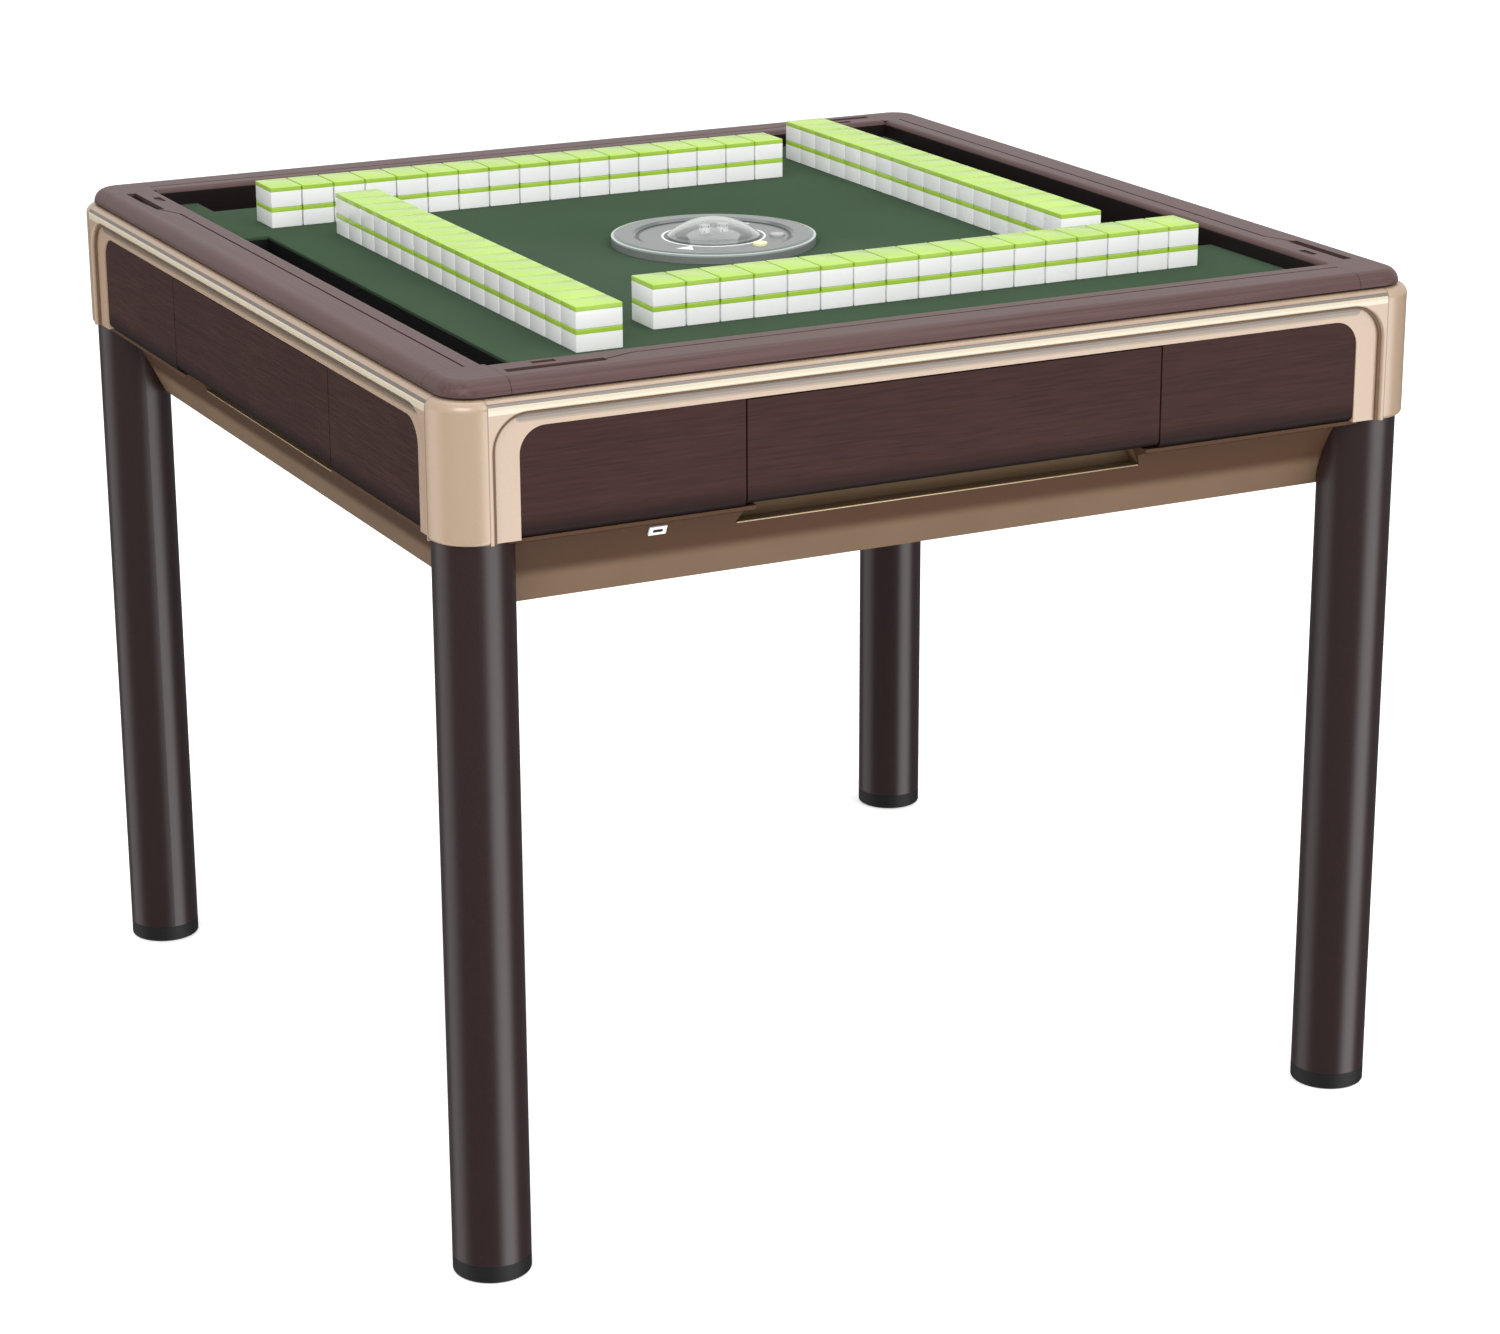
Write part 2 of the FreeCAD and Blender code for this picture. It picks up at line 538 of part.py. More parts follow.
def make_lift_bar(turn):
    """Black bar that lifts a dealt row of tiles up through its slot."""
    bar = new_body("lift_bar_" + SIDES[turn])
    plan = new_sketch(bar, "BarPlan", "XY_Plane", cell("bar_top"))
    slot_outline(plan, cell("slide_gap"))
    pad(bar, plan, cell("bar_thick"), reverse=True)
    place(bar, bar.Label, turn)


def make_chassis():
    """Base plate with deck blocks over the legs, drawer guides and the centre post."""
    chassis = new_body("chassis")
    low, thick = cell("pan_top"), cell("plate_thick")
    floor = "(%s + %s)" % (low, thick)
    edge = "(%s - %s)" % (half, cell("plate_inset"))
    plate = new_sketch(chassis, "BasePlate", "XY_Plane", low)
    square(plate, edge)
    pad(chassis, plate, thick)
    block = new_sketch(chassis, "DeckBlock", "XY_Plane", floor)
    rectangle(block, "-(%s)" % edge, "-" + cell("block_start"), "-(%s)" % edge, "-" + cell("block_start"))
    blocks = pad(chassis, block, "%s - %s" % (cell("deck_bottom"), floor))
    around(chassis, [blocks])
    socket = new_sketch(chassis, "StudSocket", "XY_Plane", low)
    circle(socket, "%s / 2 + %s" % (cell("stud_dia"), cell("stud_gap")), "-" + leg_at, "-" + leg_at)
    sockets = pocket(chassis, socket, "%s + 2" % cell("stud_length"), reverse=True)
    around(chassis, [sockets])
    far = "-(%s - %s - %s - %s)" % (half, cell("panel_inset"), cell("panel_thick"), cell("tray_depth"))
    inside = "%s + %s" % (cell("tray_half"), cell("slide_gap"))
    guides = []
    for sign in (-1, 1):
        rib = new_sketch(chassis, "GuideRib", "XY_Plane", floor)
        rectangle(rib, "%d * (%s)" % (sign, inside), "%d * (%s + %s)" % (sign, inside, cell("rib_thick")),
                  "-(%s)" % edge, far)
        guides.append(pad(chassis, rib, "%s - %s" % (cell("rib_top"), floor)))
        ledge = new_sketch(chassis, "GuideLedge", "XY_Plane", floor)
        rectangle(ledge, "%d * (%s - %s)" % (sign, inside, cell("ledge_width")), "%d * (%s)" % (sign, inside),
                  "-(%s)" % edge, far)
        guides.append(pad(chassis, ledge, "%s - %s - %s" % (cell("tray_bottom"), cell("ledge_gap"), floor)))
    around(chassis, guides)
    shoulder = new_sketch(chassis, "Shoulder", "XY_Plane", floor)
    circle(shoulder, cell("shoulder_radius"))
    pad(chassis, shoulder, cell("shoulder_height"))
    post = new_sketch(chassis, "Post", "XY_Plane", floor)
    circle(post, cell("post_outer"))
    pad(chassis, post, "%s - %s" % (cell("post_top"), floor))
    bore = new_sketch(chassis, "PostBore", "XY_Plane", low)
    circle(bore, cell("post_inner"))
    pocket(chassis, bore, "%s - %s" % (cell("post_top"), low), reverse=True)
    shaft = new_sketch(chassis, "ShaftHole", "XY_Plane", low)
    circle(shaft, "%s / 2 + %s" % (cell("shaft_dia"), cell("shaft_gap")), roller_at, roller_at)
    pocket(chassis, shaft, thick, reverse=True)
    place(chassis, chassis.Label)


roller_at = "(%s + %s + %s) / sqrt(2)" % (cell("turn_radius"), cell("roller_radius"), cell("fit_gap"))


def make_turntable():
    """Shallow conical shuffling disc that turns on the centre post."""
    disc = new_body("turntable")
    bore = "%s + %s" % (cell("post_outer"), cell("shaft_gap"))
    low, rim, hub = cell("turn_bottom"), cell("turn_radius"), cell("turn_hub")
    wall = cell("turn_wall")
    profile = new_sketch(disc, "DiscProfile", "XZ_Plane")
    polygon(profile, [(bore, low), (hub, low), (hub, low + " + 12"), ("%s - %s" % (rim, wall), low + " + 5"),
                      ("%s - %s" % (rim, wall), low), (rim, low), (rim, cell("turn_rim_top")),
                      ("%s - %s" % (rim, wall), cell("turn_rim_top")), ("%s - %s" % (rim, wall), low + " + 12"),
                      (hub, low + " + 20"), (hub, cell("turn_hub_top")), (bore, cell("turn_hub_top"))])
    revolve(disc, profile)
    place(disc, disc.Label)


def make_drive():
    """Motor below the base plate and the friction roller on its shaft."""
    motor = new_body("motor")
    top = cell("pan_top")
    can = new_sketch(motor, "MotorCan", "XY_Plane", top)
    circle(can, cell("motor_radius"), roller_at, roller_at)
    pad(motor, can, cell("motor_length"), reverse=True)
    bore = new_sketch(motor, "MotorBore", "XY_Plane", top)
    circle(bore, "%s / 2 + %s" % (cell("shaft_dia"), cell("shaft_gap")), roller_at, roller_at)
    pocket(motor, bore, cell("shaft_reach") + " + 1")
    place(motor, motor.Label)

    roller = new_body("drive_roller")
    wheel = new_sketch(roller, "Wheel", "XY_Plane", cell("roller_bottom"))
    circle(wheel, cell("roller_radius"), roller_at, roller_at)
    pad(roller, wheel, cell("roller_height"))
    shaft = new_sketch(roller, "Shaft", "XY_Plane", cell("roller_bottom"))
    circle(shaft, cell("shaft_dia") + " / 2", roller_at, roller_at)
    pad(roller, shaft, "%s - %s + %s" % (cell("roller_bottom"), top, cell("shaft_reach")), reverse=True)
    place(roller, roller.Label)


KEY_TURNS = (20, 62)


def key_place(angle):
    """Expressions for the middle of a console key at an angle from the front."""
    turn = math.radians(angle)
    return "%s * %.6f" % (cell("key_orbit"), math.sin(turn)), "%s * %.6f" % (cell("key_orbit"), -math.cos(turn))


def make_console():
    """Centre console: lifting tube with flange, bezel ring, dice disc, dice, dome and two keys."""
    tube = new_body("console_body")
    outer = "%s - %s" % (cell("post_inner"), cell("tube_gap"))
    stem = new_sketch(tube, "Tube", "XY_Plane", cell("console_base"))
    circle(stem, outer)
    pad(tube, stem, "%s - %s" % (cell("felt_top"), cell("console_base")))
    flange = new_sketch(tube, "Flange", "XY_Plane", cell("felt_top"))
    circle(flange, cell("console_radius"))
    pad(tube, flange, "%s - %s" % (cell("flange_top"), cell("felt_top")))
    bore = new_sketch(tube, "TubeBore", "XY_Plane", cell("console_base"))
    circle(bore, "%s - %s" % (outer, cell("tube_wall")))
    pocket(tube, bore, "%s - %s" % (cell("felt_top"), cell("console_base")), reverse=True)
    spindle = new_sketch(tube, "SpindleHole", "XY_Plane", cell("flange_top"))
    circle(spindle, "%s / 2 + %s" % (cell("dice_shaft"), cell("shaft_gap")))
    pocket(tube, spindle, "%s - %s" % (cell("flange_top"), cell("felt_top")))
    for angle in KEY_TURNS:
        across, up = key_place(angle)
        well = new_sketch(tube, "KeyWell", "XY_Plane", cell("flange_top"))
        circle(well, "%s + %s" % (cell("key_radius"), cell("fit_gap")), across, up)
        pocket(tube, well, cell("key_pocket"))
        guide = new_sketch(tube, "KeyGuide", "XY_Plane", cell("flange_top"))
        circle(guide, "%s / 2 + %s" % (cell("key_stem"), cell("tube_gap")), across, up)
        pocket(tube, guide, "%s - %s" % (cell("flange_top"), cell("felt_top")))
    place(tube, tube.Label)

    ring = new_body("console_ring")
    low, inner, rim = cell("flange_top"), cell("ring_inner"), cell("console_radius")
    high = "%s + %s" % (low, cell("ring_height"))
    profile = new_sketch(ring, "RingProfile", "XZ_Plane")
    polygon(profile, [(inner, low), (rim, low), (rim, low + " + 1.5"), (rim + " - 6", high),
                      (inner + " + 3", high), (inner, high + " - 2")])
    revolve(ring, profile)
    place(ring, ring.Label)

    disc = new_body("dice_disc")
    plate = new_sketch(disc, "DicePlate", "XY_Plane", "%s + %s" % (low, cell("fit_gap")))
    circle(plate, cell("dice_disc"))
    pad(disc, plate, cell("dice_disc_thick"))
    pivot = new_sketch(disc, "DicePivot", "XY_Plane", "%s + %s" % (low, cell("fit_gap")))
    circle(pivot, cell("dice_shaft") + " / 2")
    pad(disc, pivot, "%s - %s + 3" % (low, cell("felt_top")), reverse=True)
    place(disc, disc.Label)

    pair = []
    for sign in (-1, 1):
        die = doc.addObject("Part::Box", "Die")
        for side in ("Length", "Width", "Height"):
            die.setExpression(side, cell("dice_size"))
        across = "%d * %s - %s / 2" % (sign, cell("dice_offset"), cell("dice_size"))
        die.setExpression("Placement.Base.x", across)
        die.setExpression("Placement.Base.y", "-%s / 2" % cell("dice_size"))
        die.setExpression("Placement.Base.z", "%s + %s + %s" % (low, cell("fit_gap"), cell("dice_disc_thick")))
        pair.append(die)
    dice = doc.addObject("Part::Compound", "dice")
    dice.Links = pair
    doc.recompute()
    place(dice, dice.Name)

    dome_ball = "(%s * %s + %s * %s) / (2 * %s)" % (cell("dome_radius"), cell("dome_radius"), cell("dome_rise"),
                                                   cell("dome_rise"), cell("dome_rise"))
    centre = "%s + %s - %s" % (low, cell("dome_rise"), dome_ball)
    balls = []
    for name, shrink in (("DomeOuter", "0"), ("DomeInner", cell("dome_wall"))):
        ball = doc.addObject("Part::Sphere", name)
        ball.setExpression("Radius", "%s - %s" % (dome_ball, shrink))
        ball.setExpression("Placement.Base.z", centre)
        balls.append(ball)
    shell = doc.addObject("Part::Cut", "DomeShell")
    shell.Base, shell.Tool = balls
    drum = doc.addObject("Part::Cylinder", "DomeDrum")
    drum.setExpression("Radius", cell("dome_radius") + " + 1")
    drum.setExpression("Height", cell("dome_rise") + " + 1")
    drum.setExpression("Placement.Base.z", low)
    dome = doc.addObject("Part::Common", "dice_dome")
    dome.Base, dome.Tool = shell, drum
    doc.recompute()
    place(dome, dome.Name)

    for number, angle in enumerate(KEY_TURNS, 1):
        across, up = key_place(angle)
        key = new_body("key_%d" % number)
        start = "%s - %s + %s + 1" % (low, cell("key_pocket"), cell("key_lift"))
        cap = new_sketch(key, "KeyCap", "XY_Plane", start)
        circle(cap, cell("key_radius"), across, up)
        pad(key, cap, cell("key_height"))
        top_now = value("%s + %s" % (start, cell("key_height")))
        round_edges(key, "0.8", lambda p, r, e: close(p.z, top_now))
        leg = new_sketch(key, "KeyStem", "XY_Plane", start)
        circle(leg, cell("key_stem") + " / 2", across, up)
        pad(key, leg, "%s - %s + %s" % (cell("key_pocket"), cell("key_lift"), cell("fit_gap")), reverse=True)
        place(key, key.Label)


def make_socket():
    """Small charging socket plate lying on the sloping pan face below the front left panel."""
    plate = doc.addObject("Part::Box", "socket_plate")
    plate.setExpression("Length", cell("socket_width"))
    plate.setExpression("Width", cell("socket_thick"))
    plate.setExpression("Height", cell("socket_height"))
    doc.recompute()
    drop = value("%s - %s" % (cell("pan_bottom_inset"), cell("pan_knee_inset")))
    rise = value(cell("pan_slope"))
    lean = math.atan2(drop, rise)
    level = value("%s - %s" % (cell("pan_top"), cell("socket_drop")))
    inset = value(cell("pan_knee_inset")) + (value(cell("pan_knee")) - level) * drop / rise
    face = FreeCAD.Vector(-value(cell("socket_x")), inset - value(half), level)
    turn = FreeCAD.Rotation(FreeCAD.Vector(1, 0, 0), math.degrees(lean))
    own = FreeCAD.Vector(-value(cell("socket_width")) / 2, -value(cell("socket_thick")), 0)
    place(plate, plate.Name)
    plate.Placement = FreeCAD.Placement(face + turn.multVec(own), turn)


def make_tile_row(turn):
    """A dealt wall of tiles, two high, standing in front of one player."""
    pitch, gap, edge = value(cell("tile_pitch")), value(cell("tile_gap")), value(cell("tile_edge"))
    length, thick = value(cell("tile_length")), value(cell("tile_thick"))
    tile = Part.makeBox(pitch - gap, length, thick - gap)
    tile = tile.makeChamfer(edge, tile.Edges)
    room = "%s + %s - %s" % (cell("row_end"), cell("row_inner"), cell("row_clear"))
    count = int(value("(%s) / %s" % (room, cell("tile_pitch"))))
    start = value(cell("row_end")) - count * pitch
    near = -value(cell("row_inner")) - length
    tiles = []
    for layer in range(2):
        for number in range(count):
            one = tile.copy()
            level = value(cell("felt_top")) + layer * (thick - gap)
            one.translate(FreeCAD.Vector(start + number * pitch, near, level))
            tiles.append(one)
    wall = doc.addObject("Part::Feature", "tiles_" + SIDES[turn])
    wall.Shape = Part.makeCompound(tiles)
    place(wall, wall.Name, turn)


make_pan()
make_chassis()
make_deck()
make_felt()
make_turntable()
make_drive()
make_console()
make_socket()
for side in range(len(SIDES)):
    make_leg(side)
    make_foot(side)
    make_trim(side)
    make_corner(side)
    make_fixed_panels(side)
    make_drawer(side)
    make_rim(side)
    make_rim_corner(side)
    make_lift_bar(side)
    make_tile_row(side)

doc.recompute()
for item in doc.Objects:
    if "Invalid" in item.State or "Error" in item.State:
        raise RuntimeError("%s did not build: %s" % (item.Label, item.State))
os.makedirs("parts", exist_ok=True)
for item in nodes:
    if item.Shape.isNull() or not item.Shape.isValid():
        raise RuntimeError("bad shape: " + item.Label)
    item.Shape.exportStep("parts/%s.step" % item.Label)
print("%d sub-parts" % len(nodes))
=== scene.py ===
"""Dresses the automatic mahjong table: finishes, cloth, tiles, console marks, floor, light and camera."""
import logging
import math
from dataclasses import dataclass
from enum import Enum
from typing import Iterable, Sequence

import bmesh
import bpy
from mathutils import Matrix, Vector


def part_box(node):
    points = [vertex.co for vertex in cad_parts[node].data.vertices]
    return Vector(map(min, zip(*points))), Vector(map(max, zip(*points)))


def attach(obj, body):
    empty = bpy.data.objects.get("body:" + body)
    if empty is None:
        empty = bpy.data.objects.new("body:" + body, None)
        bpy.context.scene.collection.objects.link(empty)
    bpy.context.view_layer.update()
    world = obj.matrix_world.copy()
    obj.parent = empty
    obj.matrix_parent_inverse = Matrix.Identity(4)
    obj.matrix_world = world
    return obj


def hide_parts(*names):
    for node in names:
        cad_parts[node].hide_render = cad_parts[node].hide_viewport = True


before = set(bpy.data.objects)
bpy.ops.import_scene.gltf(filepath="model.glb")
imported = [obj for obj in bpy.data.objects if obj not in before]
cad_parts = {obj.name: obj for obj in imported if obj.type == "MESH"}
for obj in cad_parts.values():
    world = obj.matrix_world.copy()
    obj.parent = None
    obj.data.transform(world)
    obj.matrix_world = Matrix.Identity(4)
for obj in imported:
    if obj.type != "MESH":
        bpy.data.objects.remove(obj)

log = logging.getLogger("mahjong_table")
Material = bpy.types.Material
Socket = bpy.types.NodeSocket
MM = 0.001
QUARTER = math.pi / 2
# Vertices closer together than this are one.
MERGE = 0.01 * MM
# Nearly all values of a noise texture lie in this span.
NOISE_LOW, NOISE_HIGH = 0.3, 0.7
GRAIN_DETAIL = 3.0
DRIFT_CELLS, DRIFT_DETAIL = 8.0, 2.0
COAT_ROUGHNESS, SHEEN_ROUGHNESS = 0.1, 0.4
RELIEF_DEPTH = 0.3 * MM
# Sockets of the Mix node by number, since several share a name.
VALUE_A, VALUE_B, COLOUR_A, COLOUR_B, COLOUR_OUT = 2, 3, 6, 7, 2


class Side(Enum):
    """The four sides of the table, counted anticlockwise from the front."""

    FRONT = 0
    RIGHT = 1
    BACK = 2
    LEFT = 3

    @property
    def label(self) -> str:
        """The side's word in the names of its pieces."""
        return self.name.lower()

    @property
    def turn(self) -> Matrix:
        """The turn that brings a front piece to this side."""
        return Matrix.Rotation(QUARTER * self.value, 4, "Z")


class Grain(Enum):
    """Which way a streak runs, as noise cells per metre along X, Y and Z."""

    LEVEL = (26.0, 26.0, 620.0)
    ALONG_X = (6.0, 620.0, 620.0)
    ALONG_Y = (620.0, 6.0, 620.0)
    EVEN = (900.0, 900.0, 900.0)
    FIBRE = (1600.0, 1600.0, 1600.0)
    CLOUD = (16.0, 16.0, 16.0)


class Measure(Enum):
    """Lengths on the object by which a mark finds its place."""

    HEIGHT = "height above the floor"
    OUTWARD = "larger of the two distances from the middle planes"
    INWARD = "smaller of the two distances from the middle planes"
    RADIUS = "distance from the upright middle line"


def linear(code: str) -> tuple[float, float, float, float]:
    """Turn an sRGB hex colour into linear light.

    Args:
        code: Six hex digits with a leading mark.

    Returns:
        Red, green, blue and alpha, linear.
    """
    parts = [int(code[i:i + 2], 16) / 255 for i in (1, 3, 5)]
    return (*[p / 12.92 if p <= 0.04045 else ((p + 0.055) / 1.055) ** 2.4 for p in parts], 1.0)


def add_node(material: Material | bpy.types.World, kind: str, links: dict | None = None,
             **settings) -> bpy.types.Node:
    """Add one shader node with its settings and its incoming links.

    Args:
        material: The material, or the surroundings, that get the node.
        kind: The node's type name.
        links: Socket name or number to the output socket that feeds it.
        settings: Node properties, or input values by name with underscores for spaces.

    Returns:
        The new node.
    """
    node = material.node_tree.nodes.new(kind)
    for name, setting in settings.items():
        if name in node.bl_rna.properties:
            setattr(node, name, setting)
        else:
            node.inputs[name.replace("_", " ")].default_value = setting
    for name, source in (links or {}).items():
        material.node_tree.links.new(source, node.inputs[name])
    return node


@dataclass(frozen=True)
class Mark:
    """A part of a finish in another colour, between limits of one or more measures, in metres."""

    colour: str
    bands: tuple[tuple[Measure, float, float], ...]


@dataclass(frozen=True)
class Finish:
    """A material: two shades that mottle it, its gloss, its fine relief, its painted shade and its marks."""

    name: str
    shade: str
    light: str
    roughness: float
    metallic: float = 0.0
    grain: Grain = Grain.EVEN
    relief: float = 0.05
    contrast: float = 0.25
    spread: float = 0.05
    specular: float = 0.5
    coat: float = 0.0
    sheen: float = 0.0
    ior: float = 1.5
    clear: float = 0.0
    glow: float = 0.0
    drift: float = 0.0
    painted_shade: tuple[str, float, float] | None = None
    marks: tuple[Mark, ...] = ()

    def shader(self, material: Material) -> bpy.types.Node:
        """Add the surface shader with every constant of the finish.

        Args:
            material: The material in the making.

        Returns:
            The shader node.
        """
        shader = add_node(material, "ShaderNodeBsdfPrincipled", Metallic=self.metallic, IOR=self.ior,
                          Specular_IOR_Level=self.specular, Transmission_Weight=self.clear,
                          Coat_Weight=self.coat, Coat_Roughness=COAT_ROUGHNESS,
                          Sheen_Weight=self.sheen, Sheen_Roughness=SHEEN_ROUGHNESS,
                          Emission_Strength=self.glow, Emission_Color=linear(self.light))
        add_node(material, "ShaderNodeOutputMaterial", {"Surface": shader.outputs[0]})
        return shader

    def measures(self, material: Material, place: Socket) -> dict[Measure, Socket]:
        """Work out the lengths that the marks go by.

        Args:
            material: The material in the making.
            place: The object coordinates.

        Returns:
            A value socket for each measure.
        """
        split = add_node(material, "ShaderNodeSeparateXYZ", {0: place})
        across, deep = (
            add_node(material, "ShaderNodeMath", {0: split.outputs[axis]}, operation="ABSOLUTE").outputs[0]
            for axis in "XY")
        flat = add_node(material, "ShaderNodeCombineXYZ", {"X": across, "Y": deep})
        far = add_node(material, "ShaderNodeVectorMath", {0: flat.outputs[0]}, operation="LENGTH")
        larger, smaller = (
            add_node(material, "ShaderNodeMath", {0: across, 1: deep}, operation=choice).outputs[0]
            for choice in ("MAXIMUM", "MINIMUM"))
        return {Measure.HEIGHT: split.outputs["Z"], Measure.OUTWARD: larger, Measure.INWARD: smaller,
                Measure.RADIUS: far.outputs["Value"]}

    def drifted(self, material: Material, colour: Socket, place: Socket) -> Socket:
        """Let a colour grow slightly lighter and darker over patches of about 125 mm.

        Args:
            material: The material in the making.
            colour: The colour so far.
            place: The object coordinates.

        Returns:
            The drifting colour.
        """
        broad = add_node(material, "ShaderNodeTexNoise", {"Vector": place},
                         Scale=DRIFT_CELLS, Detail=DRIFT_DETAIL)
        level = add_node(material, "ShaderNodeMapRange", {"Value": broad.outputs[0]},
                         From_Min=NOISE_LOW, From_Max=NOISE_HIGH,
                         To_Min=1 - self.drift, To_Max=1 + self.drift)
        tint = add_node(material, "ShaderNodeVectorMath", {0: colour, 1: level.outputs[0]},
                        operation="MULTIPLY")
        return tint.outputs[0]

    def colour(self, material: Material, streak: bpy.types.Node, place: Socket) -> Socket:
        """Mottle the two shades and lay the painted shade and the marks over them.

        Args:
            material: The material in the making.
            streak: The fine noise.
            place: The object coordinates.

        Returns:
            A colour socket.
        """
        ramp = add_node(material, "ShaderNodeValToRGB", {"Fac": streak.outputs[0]})
        low, high = ramp.color_ramp.elements
        low.position, high.position = 0.5 - self.contrast, 0.5 + self.contrast
        low.color, high.color = linear(self.shade), linear(self.light)
        colour = ramp.outputs[0]
        if self.drift:
            colour = self.drifted(material, colour, place)
        lengths = self.measures(material, place) if self.marks or self.painted_shade else {}
        overlays: list[tuple[Socket, str]] = []
        # Painted shade: the colour darkens across a band of height.
        if self.painted_shade:
            dark, start, stop = self.painted_shade
            rise = add_node(material, "ShaderNodeMapRange", {"Value": lengths[Measure.HEIGHT]},
                            interpolation_type="SMOOTHSTEP", From_Min=start, From_Max=stop)
            overlays.append((rise.outputs[0], dark))
        for mark in self.marks:
            inside = None
            for measure, start, stop in mark.bands:
                band = add_node(material, "ShaderNodeMath", {0: lengths[measure]}, operation="COMPARE")
                band.inputs[1].default_value = (start + stop) / 2
                band.inputs[2].default_value = (stop - start) / 2
                if inside is None:
                    inside = band.outputs[0]
                    continue
                both = add_node(material, "ShaderNodeMath", {0: band.outputs[0], 1: inside},
                                operation="MULTIPLY")
                inside = both.outputs[0]
            overlays.append((inside, mark.colour))
        for share, code in overlays:
            mix = add_node(material, "ShaderNodeMix", {"Factor": share, COLOUR_A: colour}, data_type="RGBA")
            mix.inputs[COLOUR_B].default_value = linear(code)
            colour = mix.outputs[COLOUR_OUT]
        return colour

    def make(self) -> Material:
        """Build the node material.

        Returns:
            The finished material.
        """
        material = bpy.data.materials.new(self.name)
        material.use_nodes = True
        material.node_tree.nodes.clear()
        shader = self.shader(material)
        place = add_node(material, "ShaderNodeTexCoord").outputs["Object"]
        mapping = add_node(material, "ShaderNodeMapping", {"Vector": place}, Scale=self.grain.value)
        streak = add_node(material, "ShaderNodeTexNoise", {"Vector": mapping.outputs[0]},
                          Scale=1.0, Detail=GRAIN_DETAIL)
        gloss = add_node(material, "ShaderNodeMapRange", {"Value": streak.outputs[0]},
                         From_Min=NOISE_LOW, From_Max=NOISE_HIGH,
                         To_Min=self.roughness - self.spread, To_Max=self.roughness + self.spread)
        bump = add_node(material, "ShaderNodeBump", {"Height": streak.outputs[0]},
                        Strength=self.relief, Distance=RELIEF_DEPTH)
        for source, socket in ((self.colour(material, streak, place), "Base Color"),
                               (gloss.outputs[0], "Roughness"), (bump.outputs[0], "Normal")):
            material.node_tree.links.new(source, shader.inputs[socket])
        return material


# The lines where two mouldings meet: a hair of shadow, drawn 1 mm wide so that it shows.
GOLD_SEAM = Mark("#6A5743", ((Measure.INWARD, 0.4130, 0.4140), (Measure.OUTWARD, 0.43, 0.46)))
RIM_SEAM = Mark("#2A1C1B", ((Measure.INWARD, 0.3896, 0.3904), (Measure.OUTWARD, 0.395, 0.46)))
# The inner wall of the rim: painted shade, drawn near black.
RIM_INNER_SHADE = Mark("#1A1213", ((Measure.OUTWARD, 0.38, 0.3906), (Measure.HEIGHT, 0.70, 0.747)))
# What an even light hides on the arch of the gold trim, drawn in: a painted highlight on the crest, a painted
# shadow line over it and painted shade in the corner below it, in three steps.
ARCH_LENGTH = (Measure.INWARD, 0.0, 0.4130)
ARCH_FACE = (Measure.OUTWARD, 0.4465, 0.4505)
ARCH_ROLL = (Measure.OUTWARD, 0.44, 0.4505)
BORDER_FACE = (Measure.OUTWARD, 0.444, 0.4462)
ARCH_LIGHT_AND_SHADE = (
    Mark("#BAAF99", ((Measure.HEIGHT, 0.7258, 0.7319), ARCH_FACE, ARCH_LENGTH)),
    Mark("#564A40", ((Measure.HEIGHT, 0.7319, 0.7345), ARCH_ROLL, ARCH_LENGTH)),
    Mark("#514232", ((Measure.HEIGHT, 0.7207, 0.7265), BORDER_FACE, (Measure.INWARD, 0.0, 0.390))),
    Mark("#6A5A48", ((Measure.HEIGHT, 0.7182, 0.7207), BORDER_FACE, (Measure.INWARD, 0.0, 0.388))),
    Mark("#83705C", ((Measure.HEIGHT, 0.7167, 0.7182), BORDER_FACE, (Measure.INWARD, 0.0, 0.386))),
)
# Champagne lacquer on moulded ABS: warm pale gold, an even pearl with a satin gloss, under the painted shadow
# and highlight of its marks.
GOLD = Finish("champagne_lacquered_abs", "#97806A", "#A18A74", 0.32, relief=0.0, contrast=0.5, specular=1.0,
              spread=0.0, marks=(GOLD_SEAM, *ARCH_LIGHT_AND_SHADE))
# Foil with brushed wood grain: dark brown, drawn out level in lines of under 2 mm, satin, with painted
# shade that darkens the rolled foot.
PANEL = Finish("brushed_walnut_foil", "#2D1B19", "#392522", 0.46, grain=Grain.LEVEL, relief=0.1, contrast=0.2,
               specular=0.08, drift=0.06, painted_shade=("#190D0C", 0.646, 0.626))
# Satin ABS mouldings: brown, drawn out along the rail in lines of under 2 mm, with painted shade on the inner
# wall.
RIM_X = Finish("brown_satin_abs_x", "#463230", "#574140", 0.4, grain=Grain.ALONG_X, relief=0.06, specular=0.2,
               drift=0.04, marks=(RIM_INNER_SHADE, RIM_SEAM))
RIM_Y = Finish("brown_satin_abs_y", "#463230", "#574140", 0.4, grain=Grain.ALONG_Y, relief=0.06, specular=0.2,
               drift=0.04, marks=(RIM_INNER_SHADE, RIM_SEAM))
# Bronze pearl paint on a moulded pan: warm brown, satin, painted shade towards the panels but not in the
# finger pulls.
PULL_HOLLOW = Mark("#735E47", ((Measure.HEIGHT, 0.6045, 0.6245), (Measure.OUTWARD, 0.38, 0.4165)))
BRONZE = Finish("bronze_painted_abs", "#685542", "#755F4D", 0.5, grain=Grain.CLOUD, relief=0.0, contrast=0.5,
                specular=0.08, painted_shade=("#4B3628", 0.5775, 0.5905), marks=(PULL_HOLLOW,))
# Dark brown powder coat on steel tube: smooth, with a fine orange peel of about 1 mm.
LEG = Finish("brown_powder_coated_steel", "#241616", "#2A1B1B", 0.33, relief=0.02, specular=0.42, spread=0.02)
# Moulded rubber: black and dull, with a fine grain.
RUBBER = Finish("black_rubber", "#0C0C0C", "#161616", 0.6, relief=0.15, specular=0.3)
# Short wool felt: dull, with fibres about 0.6 mm apart and no gloss.
FELT = Finish("green_wool_felt", "#2B3F2D", "#3C4F3B", 0.95, grain=Grain.FIBRE, relief=0.4, specular=0.06,
              sheen=0.03, drift=0.07)
